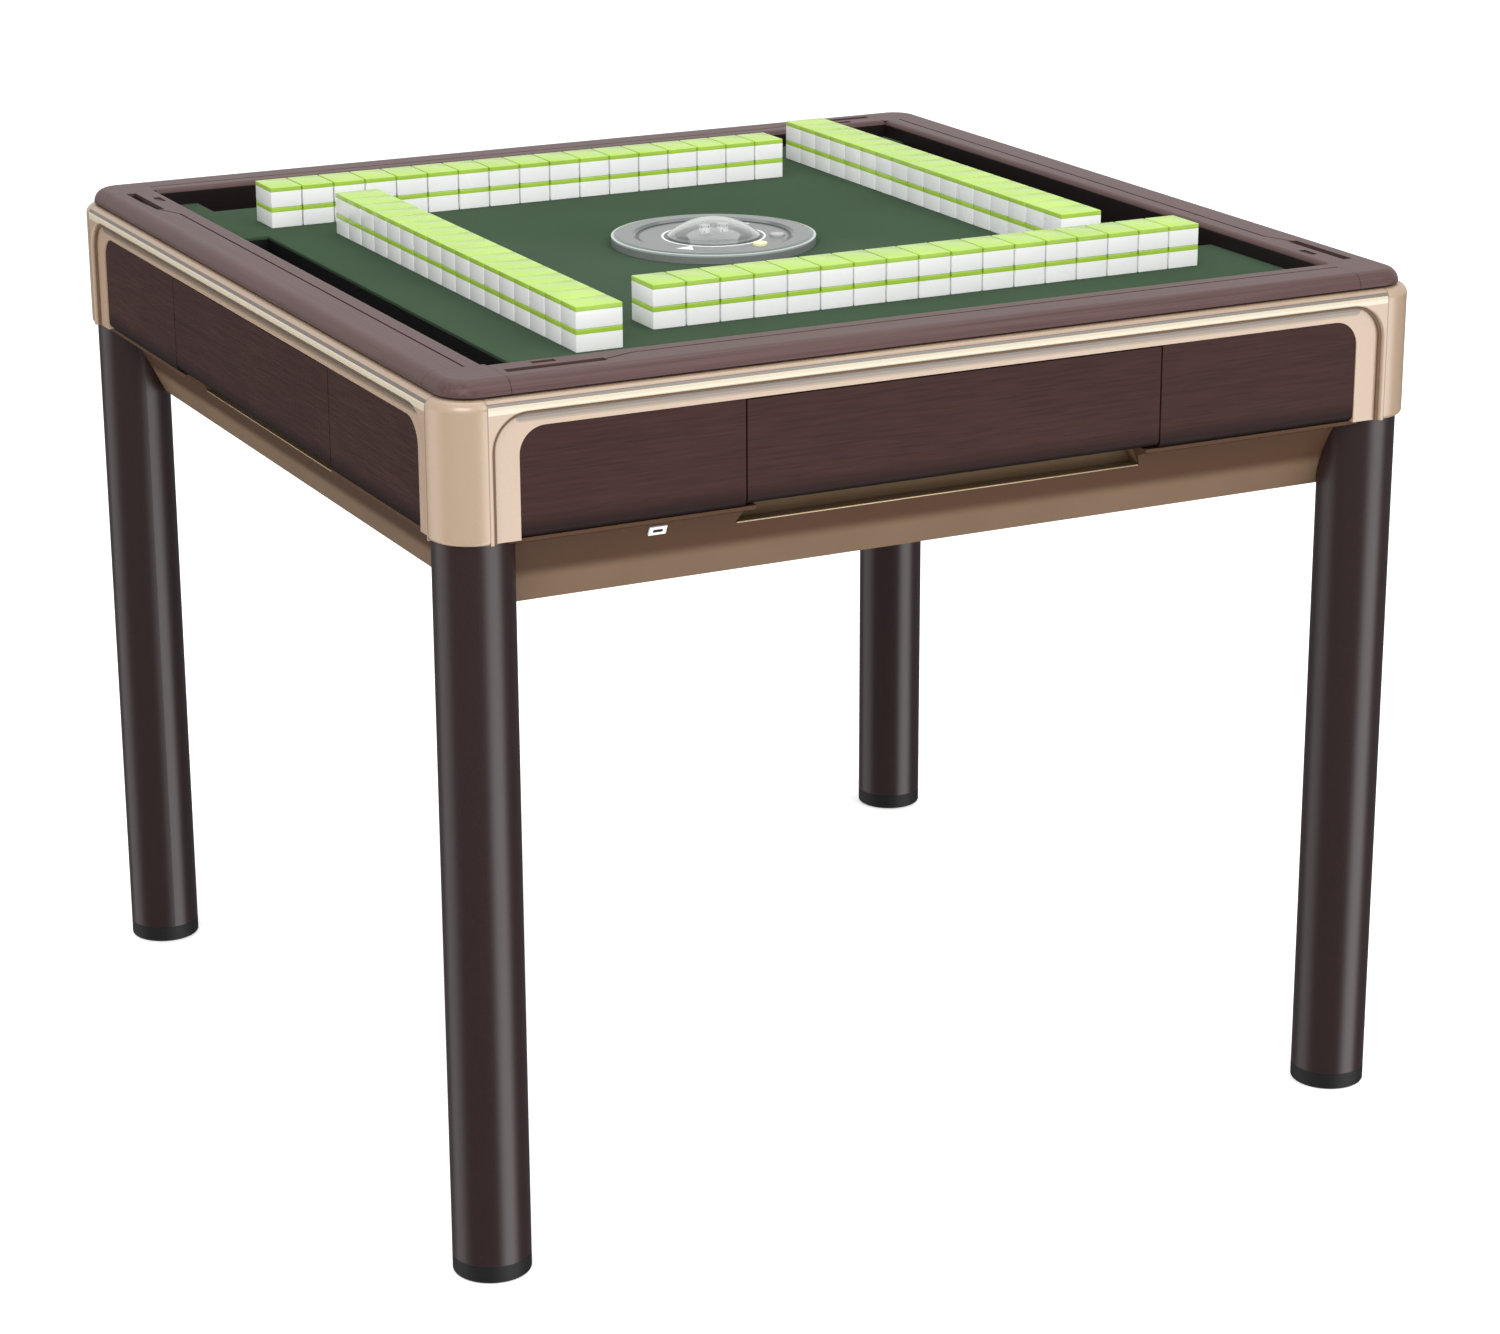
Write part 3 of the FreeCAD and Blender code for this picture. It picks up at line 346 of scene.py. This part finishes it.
# Moulded ABS: black with a fine spark-eroded grain of about 1 mm.
BLACK = Finish("black_moulded_abs", "#080808", "#121111", 0.5, relief=0.1, specular=0.3, drift=0.1)
# Cast acrylic: black, polished.
GLOSS_BLACK = Finish("black_gloss_acrylic", "#0A0909", "#131111", 0.12, relief=0.0, specular=0.6, spread=0.03)
# Injection moulded polypropylene: charcoal with a leathery grain of about 1 mm.
TRAY = Finish("charcoal_polypropylene", "#1B1A1A", "#2A2828", 0.5, relief=0.25)
# Powder coat on folded sheet steel: mid grey with a fine orange peel.
STEEL = Finish("grey_powder_coated_steel", "#595C5E", "#686B6D", 0.45, metallic=0.3, relief=0.15, drift=0.05)
# Moulded polyamide: dark grey, dull.
DISC = Finish("dark_grey_polyamide", "#28292B", "#343638", 0.5, relief=0.1, drift=0.05)
# Console plate: light grey satin moulding with a ring of painted shadow round its middle field.
CONSOLE = Finish("grey_satin_abs", "#6C6E6D", "#797C7B", 0.35, relief=0.02, drift=0.03,
                 marks=(Mark("#3A3D3C", ((Measure.RADIUS, 0.0668, 0.0702),)),))
# Smoked clear ring with a painted highlight along its outer edge.
BEZEL = Finish("smoked_grey_acrylic", "#444B4A", "#535B59", 0.18, relief=0.0, coat=0.3,
               marks=(Mark("#A3ADA8", ((Measure.RADIUS, 0.0898, 0.095),)),))
# Moulded polycarbonate: clear and polished.
DOME = Finish("clear_polycarbonate", "#F4F7F6", "#FFFFFF", 0.06, relief=0.0, ior=1.58, spread=0.02,
              clear=0.95)
# Pressed melamine, tumbled smooth: white and a fresh green, with a soft gloss.
WHITE = Finish("white_melamine", "#F4F4F4", "#FAFAFA", 0.25, grain=Grain.CLOUD, relief=0.0, coat=0.2)
GREEN = Finish("green_melamine", "#94B836", "#A6CA48", 0.25, grain=Grain.CLOUD, relief=0.0, coat=0.2)
# Printing ink in the hollows of the dice.
INK = Finish("dark_blue_enamel", "#14161E", "#1E212B", 0.3, relief=0.0)
# Moulded silicone keys: soft satin.
IVORY = Finish("ivory_silicone", "#E2DCA8", "#EFEBC0", 0.35, relief=0.02)
PAD = Finish("pale_grey_silicone", "#9A9D9C", "#A8ABAA", 0.35, relief=0.02)
# Pale bronze beads along the lower lip of each finger pull: a painted highlight.
PULL_LIP_HIGHLIGHT = Finish("bronze_edge_painted_highlight", "#A8926F", "#B8A280", 0.25, metallic=0.3, grain=Grain.CLOUD, relief=0.0)
# Dark brown strip in the corner of the gold arch: a thin line of painted shadow.
ARCH_SHADOW_STRIP = Finish("arch_corner_painted_shadow", "#5E4A38", "#6A5542", 0.5, relief=0.0, specular=0.2)
# Studio floor: near white and dull, with a glow of its own that keeps it even.
PALE = Finish("pale_floor", "#F6F6F6", "#FAFAFA", 0.9, grain=Grain.CLOUD, relief=0.0, specular=0.1, glow=0.4)


class Paintbox:
    """Keeps one Blender material for each finish."""

    def __init__(self) -> None:
        """Start with no material made."""
        self.made: dict[str, Material] = {}

    def get(self, finish: Finish) -> Material:
        """The material of a finish, made when first asked for.

        Args:
            finish: The finish.

        Returns:
            Its material.
        """
        if finish.name not in self.made:
            self.made[finish.name] = finish.make()
        return self.made[finish.name]

    def dress(self, nodes: Iterable[str], finish: Finish) -> None:
        """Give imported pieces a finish.

        Args:
            nodes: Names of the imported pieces.
            finish: What they are made of.
        """
        for node in nodes:
            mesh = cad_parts[node].data
            mesh.materials.clear()
            mesh.materials.append(self.get(finish))


def finish_piece(name: str, mesh: bmesh.types.BMesh, body: str, materials: Sequence[Material],
                 smooth: float = 35.0) -> bpy.types.Object:
    """Turn a finished bmesh into a piece that rides on a body.

    Args:
        name: The piece's name.
        mesh: Its shape, in place.
        body: The body that carries it.
        materials: Its materials by face index.
        smooth: Edges sharper than this angle stay sharp, in degrees.

    Returns:
        The new object.
    """
    bmesh.ops.recalc_face_normals(mesh, faces=mesh.faces[:])
    data = bpy.data.meshes.new(name)
    mesh.to_mesh(data)
    mesh.free()
    piece = bpy.data.objects.new(name, data)
    bpy.context.collection.objects.link(piece)
    for material in materials:
        data.materials.append(material)
    data.set_sharp_from_angle(angle=math.radians(smooth))
    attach(piece, body)
    log.info("made %s on %s", name, body)
    return piece


def vertices(geometry: Iterable) -> list[bmesh.types.BMVert]:
    """Pick the vertices out of an operator's result.

    Args:
        geometry: Mixed mesh elements.

    Returns:
        The vertices among them.
    """
    return [item for item in geometry if isinstance(item, bmesh.types.BMVert)]


def add_box(mesh: bmesh.types.BMesh, size: Vector, centre: Vector, radius: float,
            segments: int = 3) -> list[bmesh.types.BMVert]:
    """Add a box with rounded edges to a bmesh.

    Args:
        mesh: The bmesh that gets it.
        size: Its length, width and height.
        centre: Its middle.
        radius: The rounding of every edge.
        segments: Steps of the rounding.

    Returns:
        The vertices of the new box.
    """
    old = set(mesh.verts)
    made = bmesh.ops.create_cube(mesh, size=1.0)["verts"]
    bmesh.ops.scale(mesh, vec=size, verts=made)
    bmesh.ops.translate(mesh, vec=centre, verts=made)
    edges = list({edge for vert in made for edge in vert.link_edges})
    bmesh.ops.bevel(mesh, geom=edges, offset=radius, segments=segments, profile=0.5, affect="EDGES",
                    material=-1)
    return [vert for vert in mesh.verts if vert not in old]


@dataclass
class Cabinet:
    """Legs, pan, trims, panels, rim and the hidden works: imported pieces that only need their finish."""

    paints: Paintbox

    def dress(self) -> None:
        """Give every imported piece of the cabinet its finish."""
        words = [side.label for side in Side]
        numbers = range(1, 5)
        for nodes, finish in (
                ([f"leg_{n}" for n in numbers], LEG),
                ([f"foot_{n}" for n in numbers], RUBBER),
                ([f"trim_{w}" for w in words] + [f"corner_cover_{n}" for n in numbers], GOLD),
                ([f"panels_{w}" for w in words] + [f"drawer_front_{w}" for w in words], PANEL),
                (["rim_rail_front", "rim_rail_back"] + [f"rim_corner_{n}" for n in numbers], RIM_X),
                (["rim_rail_left", "rim_rail_right"], RIM_Y),
                ([f"lift_bar_{w}" for w in words] + ["deck"], BLACK),
                ([f"drawer_tray_{w}" for w in words], TRAY),
                (["lower_pan"], BRONZE), (["felt"], FELT), (["chassis", "motor"], STEEL),
                (["turntable", "dice_disc"], DISC), (["drive_roller"], RUBBER), (["console_body"], CONSOLE),
                (["console_ring"], BEZEL), (["dice_dome"], DOME), (["dice", "socket_plate"], WHITE),
                ([f"tiles_{w}" for w in words], WHITE), (["key_1"], IVORY), (["key_2"], PAD)):
            self.paints.dress(nodes, finish)
            log.info("dressed %s in %s", ", ".join(nodes), finish.name)


@dataclass
class PlayingCloth:
    """The felt on the field board, cut out for the four slots and the console."""

    paints: Paintbox
    edge: float = 0.8 * MM

    def build(self) -> bpy.types.Object:
        """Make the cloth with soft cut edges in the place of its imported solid.

        Returns:
            The new piece.
        """
        low, high = (Vector(corner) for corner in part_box("felt"))
        mesh = bmesh.new()
        mesh.from_mesh(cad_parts["felt"].data)
        bmesh.ops.remove_doubles(mesh, verts=mesh.verts[:], dist=MERGE)
        bmesh.ops.dissolve_limit(mesh, angle_limit=math.radians(1.0), verts=mesh.verts[:],
                                 edges=mesh.edges[:])
        top = [face for face in mesh.faces if abs(face.calc_center_median().z - high.z) < MERGE]
        area = sum(face.calc_area() for face in top)
        rim = list({edge for face in top for edge in face.edges if edge.calc_face_angle(0.0) > 1.0})
        bmesh.ops.bevel(mesh, geom=rim, offset=self.edge, segments=2, profile=0.5, affect="EDGES",
                        material=-1)
        bmesh.ops.triangulate(mesh, faces=mesh.faces[:])
        piece = finish_piece("playing_cloth", mesh, "table", [self.paints.get(FELT)])
        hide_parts("felt")
        return piece


@dataclass
class TileRow:
    """One dealt wall of tiles, two high, with a white body and a green back on every tile."""

    side: Side
    paints: Paintbox
    edge: float = 0.6 * MM
    back: float = 4.2 * MM
    pitch: float = 31.0 * MM
    gap: float = 1.5 * MM
    slack: float = 0.05 * MM
    layers: int = 2

    def build(self) -> bpy.types.Object:
        """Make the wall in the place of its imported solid.

        Returns:
            The new piece.
        """
        node = f"tiles_{self.side.label}"
        back = self.side.turn.inverted()
        ends = [back @ Vector(corner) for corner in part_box(node)]
        low, high = Vector(map(min, *ends)), Vector(map(max, *ends))
        thick = (high.z - low.z) / self.layers
        size = Vector((self.pitch - self.gap, high.y - low.y, thick - self.slack))
        mesh = bmesh.new()
        middle = Vector((low.x + self.pitch / 2, (low.y + high.y) / 2, low.z + size.z / 2))
        add_box(mesh, size, middle, self.edge)
        split = low.z + thick - self.back
        bmesh.ops.bisect_plane(mesh, geom=mesh.verts[:] + mesh.edges[:] + mesh.faces[:],
                               plane_co=(0, 0, split), plane_no=(0, 0, 1))
        for face in mesh.faces:
            face.material_index = 1 if face.calc_center_median().z > split else 0
        first = mesh.verts[:] + mesh.edges[:] + mesh.faces[:]
        count = round((high.x - low.x) / self.pitch)
        for place in range(1, count * self.layers):
            layer, number = divmod(place, count)
            copy = bmesh.ops.duplicate(mesh, geom=first)["geom"]
            bmesh.ops.translate(mesh, vec=(number * self.pitch, 0, layer * thick), verts=vertices(copy))
        bmesh.ops.transform(mesh, matrix=self.side.turn, verts=mesh.verts[:])
        piece = finish_piece(f"tile_wall_{self.side.label}", mesh, f"row_{self.side.label}",
                             [self.paints.get(WHITE), self.paints.get(GREEN)], smooth=40.0)
        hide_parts(node)
        return piece


@dataclass
class ConsoleMarks:
    """Plain marks on the console: two white pointers and a white ring round the dome."""

    paints: Paintbox
    orbit: float = 58.0 * MM
    reach: float = 9.5 * MM
    turns: tuple[float, ...] = (130.0, 310.0)
    thick: float = 0.3 * MM
    ring_gap: float = 1.2 * MM
    ring_width: float = 1.6 * MM
    ring_steps: int = 96

    def build(self) -> None:
        """Lay the marks on the top of the console plate."""
        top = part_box("dice_dome")[0][2]
        mesh = bmesh.new()
        for turn in self.turns:
            made = bmesh.ops.create_circle(mesh, cap_ends=True, segments=3, radius=self.reach)["verts"]
            move = Matrix.Rotation(math.radians(turn), 4, "Z") @ Matrix.Translation((0, -self.orbit, top))
            bmesh.ops.transform(mesh, matrix=move, verts=made)
        rise = bmesh.ops.extrude_face_region(mesh, geom=mesh.faces[:])["geom"]
        bmesh.ops.translate(mesh, vec=(0, 0, self.thick), verts=vertices(rise))
        finish_piece("console_pointers", mesh, "console", [self.paints.get(WHITE)])
        mesh = bmesh.new()
        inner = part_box("dice_dome")[1][0] + self.ring_gap
        flat = [mesh.verts.new((inner + x, 0, top + z)) for x, z in
                ((0, 0), (0, self.thick), (self.ring_width, self.thick), (self.ring_width, 0))]
        loop = [mesh.edges.new((flat[i - 1], flat[i])) for i in range(4)]
        bmesh.ops.spin(mesh, geom=flat + loop, cent=(0, 0, 0), axis=(0, 0, 1), angle=math.tau,
                       steps=self.ring_steps, use_merge=True)
        bmesh.ops.remove_doubles(mesh, verts=mesh.verts[:], dist=MERGE)
        finish_piece("console_dome_ring", mesh, "console", [self.paints.get(WHITE)])


@dataclass
class DicePair:
    """Two small dice with rounded edges and ordinary spots, on the spinning disc below the dome."""

    paints: Paintbox
    edge: float = 0.9 * MM
    spot: float = 0.75 * MM
    spread: float = 2.1 * MM
    proud: float = 0.02 * MM
    depth: float = 0.4 * MM
    corners: int = 12

    def spots(self, count: int) -> list[tuple[float, float]]:
        """Places of the spots on one face.

        Args:
            count: How many spots the face has.

        Returns:
            Their places in steps of the spread.
        """
        corners = [(-1, -1), (1, 1), (-1, 1), (1, -1), (-1, 0), (1, 0)]
        return ([(0, 0)] if count % 2 else []) + corners[:count - count % 2]

    def build(self) -> None:
        """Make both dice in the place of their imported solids."""
        low, high = (Vector(corner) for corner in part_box("dice"))
        size = high.z - low.z
        faces = {1: (0, 0), 6: (math.pi, 0), 2: (QUARTER, 0), 5: (-QUARTER, 0),
                 3: (QUARTER, QUARTER), 4: (QUARTER, -QUARTER)}
        level = size / 2 + self.proud - self.depth / 2
        mesh = bmesh.new()
        for x in (low.x + size / 2, high.x - size / 2):
            centre = Vector((x, (low.y + high.y) / 2, (low.z + high.z) / 2))
            add_box(mesh, Vector((size, size, size)), centre, self.edge)
            for count, (lean, spin) in faces.items():
                turn = Matrix.Rotation(spin, 4, "Z") @ Matrix.Rotation(lean, 4, "X")
                for across, along in self.spots(count):
                    place = Matrix.Translation((across * self.spread, along * self.spread, level))
                    made = bmesh.ops.create_cone(mesh, cap_ends=True, segments=self.corners, depth=self.depth,
                                                 radius1=self.spot, radius2=self.spot,
                                                 matrix=Matrix.Translation(centre) @ turn @ place)["verts"]
                    for face in {face for vert in made for face in vert.link_faces}:
                        face.material_index = 1
        piece = finish_piece("dice_pair", mesh, "dice_turner",
                             [self.paints.get(WHITE), self.paints.get(INK)])
        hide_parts("dice")


@dataclass
class ArchShadowStrips:
    """Thin brown strips of painted shadow in the corner where each gold arch rises from its border."""

    paints: Paintbox
    half: float = 409.5 * MM
    drop: float = 11.0 * MM
    radius: float = 30.0 * MM
    depth: float = 5.0 * MM
    width: float = 2.4 * MM
    steps: int = 12

    def lay(self, mesh: bmesh.types.BMesh) -> list[bmesh.types.BMVert]:
        """Run one strip of painted shadow up, round, across, round and down the arch of the front side.

        Args:
            mesh: The bmesh that gets it.

        Returns:
            The vertices of the gasket.
        """
        old = set(mesh.verts)
        (_, out, low), (_, _, top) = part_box("trim_front")
        level = out + self.depth - self.width / 2
        knee = top - self.drop - self.radius
        end = bmesh.ops.create_grid(mesh, x_segments=1, y_segments=1, size=self.width / 2)["verts"]
        bmesh.ops.translate(mesh, vec=(self.half - self.width / 2, level, low), verts=end)
        tip: list = list(end[0].link_faces)
        reach = self.half - self.radius
        for run, centre in ((Vector((0, 0, knee - low)), Vector((reach, level, knee))),
                            (Vector((-2 * reach, 0, 0)), Vector((-reach, level, knee))),
                            (Vector((0, 0, low - knee)), None)):
            tip = bmesh.ops.extrude_face_region(mesh, geom=tip)["geom"]
            bmesh.ops.translate(mesh, vec=run, verts=vertices(tip))
            tip = [item for item in tip if isinstance(item, bmesh.types.BMFace)]
            if centre is not None:
                turned = bmesh.ops.spin(mesh, geom=tip, cent=centre, axis=(0, -1, 0), angle=QUARTER,
                                        steps=self.steps)
                tip = [item for item in turned["geom_last"] if isinstance(item, bmesh.types.BMFace)]
        return [vert for vert in mesh.verts if vert not in old]

    def build(self) -> None:
        """Lay a strip of painted shadow on every side."""
        mesh = bmesh.new()
        for side in Side:
            bmesh.ops.transform(mesh, matrix=side.turn, verts=self.lay(mesh))
        bmesh.ops.remove_doubles(mesh, verts=mesh.verts[:], dist=MERGE)
        inner = [face for face in mesh.faces if all(len(edge.link_faces) > 2 for edge in face.edges)]
        bmesh.ops.delete(mesh, geom=inner, context="FACES_ONLY")
        finish_piece("arch_shadow_strips", mesh, "table", [self.paints.get(ARCH_SHADOW_STRIP)])


@dataclass
class RimFittings:
    """Glossy inlays in the chip slots of the four rails."""

    paints: Paintbox
    end: float = 6.0 * MM
    length: float = 84.0 * MM
    width: float = 9.0 * MM
    offset: float = 27.0 * MM
    thick: float = 3.2 * MM
    depth: float = 6.0 * MM
    slack: float = 0.2 * MM
    edge: float = 0.6 * MM

    def build(self) -> None:
        """Lay one inlay into the slot of every rail."""
        inner = -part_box("rim_rail_front")[0][0]
        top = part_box("rim_rail_front")[1][2]
        mesh = bmesh.new()
        for side in Side:
            size = Vector((self.length - 2 * self.slack, self.width - 2 * self.slack, self.thick))
            centre = Vector((-inner + self.end + self.length / 2, -inner - self.offset,
                             top - self.depth + self.thick / 2))
            made = add_box(mesh, size, centre, self.edge, 2)
            bmesh.ops.transform(mesh, matrix=side.turn, verts=made)
        finish_piece("chip_slot_inlays", mesh, "table", [self.paints.get(GLOSS_BLACK)])


@dataclass
class PanFittings:
    """Pale beads of painted highlight below the finger pulls, and the ports of the socket plate."""

    paints: Paintbox
    half: float = 188.0 * MM
    inset: float = 32.3 * MM
    drop: float = 19.0 * MM
    bead: float = 1.1 * MM
    lean: float = math.atan2(31.0, 57.0)
    port: tuple[float, float, float] = (8.4 * MM, 0.5 * MM, 3.0 * MM)
    plate: float = 1.5 * MM
    bead_round: float = 0.45
    port_edge: float = 0.2 * MM

    def build(self) -> None:
        """Lay a thin bead of painted highlight along the lower edge of every pull and a port in the socket
        plate.
        """
        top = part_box("lower_pan")[1][2]
        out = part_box("trim_front")[0][1]
        mesh = bmesh.new()
        for side in Side:
            size = Vector((2 * self.half, self.bead, self.bead))
            centre = Vector((0, out + self.inset, top - self.drop))
            made = add_box(mesh, size, centre, self.bead_round * self.bead, 2)
            bmesh.ops.transform(mesh, matrix=side.turn, verts=made)
        finish_piece("pull_lips", mesh, "table", [self.paints.get(PULL_LIP_HIGHLIGHT)])
        low, high = (Vector(corner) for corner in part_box("socket_plate"))
        mesh = bmesh.new()
        made = add_box(mesh, Vector(self.port), Vector((0, -self.plate / 2, 0)), self.port_edge, 2)
        lay = Matrix.Translation((low + high) / 2) @ Matrix.Rotation(self.lean, 4, "X")
        bmesh.ops.transform(mesh, matrix=lay, verts=made)
        finish_piece("socket_port", mesh, "table", [self.paints.get(BLACK)])


@dataclass
class Studio:
    """Plain pale floor, soft light and the camera of the photograph."""

    paints: Paintbox
    place: tuple[float, float, float] = (-1.5105, -3.0523, 1.4507)
    yaw: float = 26.854
    pitch: float = 18.157
    roll: float = 0.224
    lens: float = 92.5
    sensor: float = 36.0
    sight: float = 100.0
    sky: float = 0.85
    lights: tuple[tuple[str, tuple[float, float, float], float, float], ...] = (
        ("key", (-2.4, -2.8, 3.0), 2.2, 82.0),
        ("fill", (1.4, -3.0, 3.2), 2.4, 55.0),
        ("top", (0.2, 0.4, 3.2), 2.6, 34.0),
    )
    aim: tuple[float, float, float] = (0.0, 0.0, 0.6)
    ground: float = 0.15
    cards: tuple[tuple[float, float], ...] = ((-58.0, 3.8), (148.0, 1.2))
    card_core: float = 11.0
    card_edge: float = 29.0
    horizon: tuple[float, float] = (-0.08, -0.05)
    floor_reach: float = 30.0
    floor_drop: float = 0.5 * MM

    def build_floor(self) -> None:
        """Lay a wide pale floor below the feet."""
        mesh = bmesh.new()
        bmesh.ops.create_grid(mesh, x_segments=1, y_segments=1, size=self.floor_reach)
        data = bpy.data.meshes.new("floor")
        mesh.to_mesh(data)
        mesh.free()
        floor = bpy.data.objects.new("floor", data)
        floor.location.z = -self.floor_drop
        floor.visible_glossy = False
        data.materials.append(self.paints.get(PALE))
        bpy.context.collection.objects.link(floor)

    def build_lights(self) -> None:
        """Hang the soft lights."""
        for name, spot, size, power in self.lights:
            lamp = bpy.data.lights.new(name, "AREA")
            lamp.size = size
            lamp.energy = power
            holder = bpy.data.objects.new(name, lamp)
            holder.location = spot
            holder.rotation_euler = (Vector(self.aim) - Vector(spot)).to_track_quat("-Z", "Y").to_euler()
            bpy.context.collection.objects.link(holder)

    def build_surroundings(self) -> None:
        """Light the surroundings evenly, with upright cards low down that only glossy pieces mirror."""
        world = bpy.data.worlds.new("studio")
        world.use_nodes = True
        world.node_tree.nodes.clear()
        place = add_node(world, "ShaderNodeTexCoord").outputs["Generated"]
        split = add_node(world, "ShaderNodeSeparateXYZ", {0: place})
        level = add_node(world, "ShaderNodeCombineXYZ", {axis: split.outputs[axis] for axis in "XY"})
        heading = add_node(world, "ShaderNodeVectorMath", {0: level.outputs[0]}, operation="NORMALIZE")
        low = add_node(world, "ShaderNodeValue").outputs[0]
        low.default_value = self.ground
        for azimuth, strength in self.cards:
            turn = math.radians(azimuth)
            near = add_node(world, "ShaderNodeVectorMath", {0: heading.outputs[0]}, operation="DOT_PRODUCT")
            near.inputs[1].default_value = (math.cos(turn), math.sin(turn), 0.0)
            card = add_node(world, "ShaderNodeMapRange", {"Value": near.outputs["Value"]},
                            interpolation_type="SMOOTHSTEP", To_Max=strength,
                            From_Min=math.cos(math.radians(self.card_edge)),
                            From_Max=math.cos(math.radians(self.card_core)))
            low = add_node(world, "ShaderNodeMath", {0: low, 1: card.outputs[0]}, operation="ADD").outputs[0]
        start, stop = self.horizon
        rise = add_node(world, "ShaderNodeMapRange", {"Value": split.outputs["Z"]},
                        From_Min=start, From_Max=stop)
        power = add_node(world, "ShaderNodeMix", {"Factor": rise.outputs[0], VALUE_A: low})
        power.inputs[VALUE_B].default_value = self.sky
        glow = add_node(world, "ShaderNodeBackground", {"Strength": power.outputs[0]},
                        Color=(1.0, 1.0, 1.0, 1.0))
        add_node(world, "ShaderNodeOutputWorld", {"Surface": glow.outputs[0]})
        bpy.context.scene.world = world

    def build_camera(self) -> None:
        """Stand the camera where the photograph was taken."""
        data = bpy.data.cameras.new("camera")
        data.sensor_width = self.sensor
        data.lens = self.lens
        data.clip_end = self.sight
        camera = bpy.data.objects.new("camera", data)
        camera.location = self.place
        heading = Matrix.Rotation(-math.radians(self.yaw), 3, "Z")
        tilt = Matrix.Rotation(math.radians(90 - self.pitch), 3, "X")
        roll = Matrix.Rotation(-math.radians(self.roll), 3, "Z")
        camera.rotation_euler = (heading @ tilt @ roll).to_euler()
        bpy.context.collection.objects.link(camera)
        bpy.context.scene.camera = camera

    def build(self) -> None:
        """Set up the whole studio."""
        self.build_floor()
        self.build_lights()
        self.build_surroundings()
        self.build_camera()
        bpy.context.scene.view_settings.view_transform = "Standard"


def main() -> None:
    """Dress the table and set it in the studio."""
    logging.basicConfig(level=logging.INFO, format="%(name)s: %(message)s")
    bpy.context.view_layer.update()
    paints = Paintbox()
    Cabinet(paints).dress()
    PlayingCloth(paints).build()
    for side in Side:
        TileRow(side, paints).build()
    for assembly in (ConsoleMarks, DicePair, ArchShadowStrips, RimFittings, PanFittings, Studio):
        assembly(paints).build()


if __name__ == "__main__":
    main()
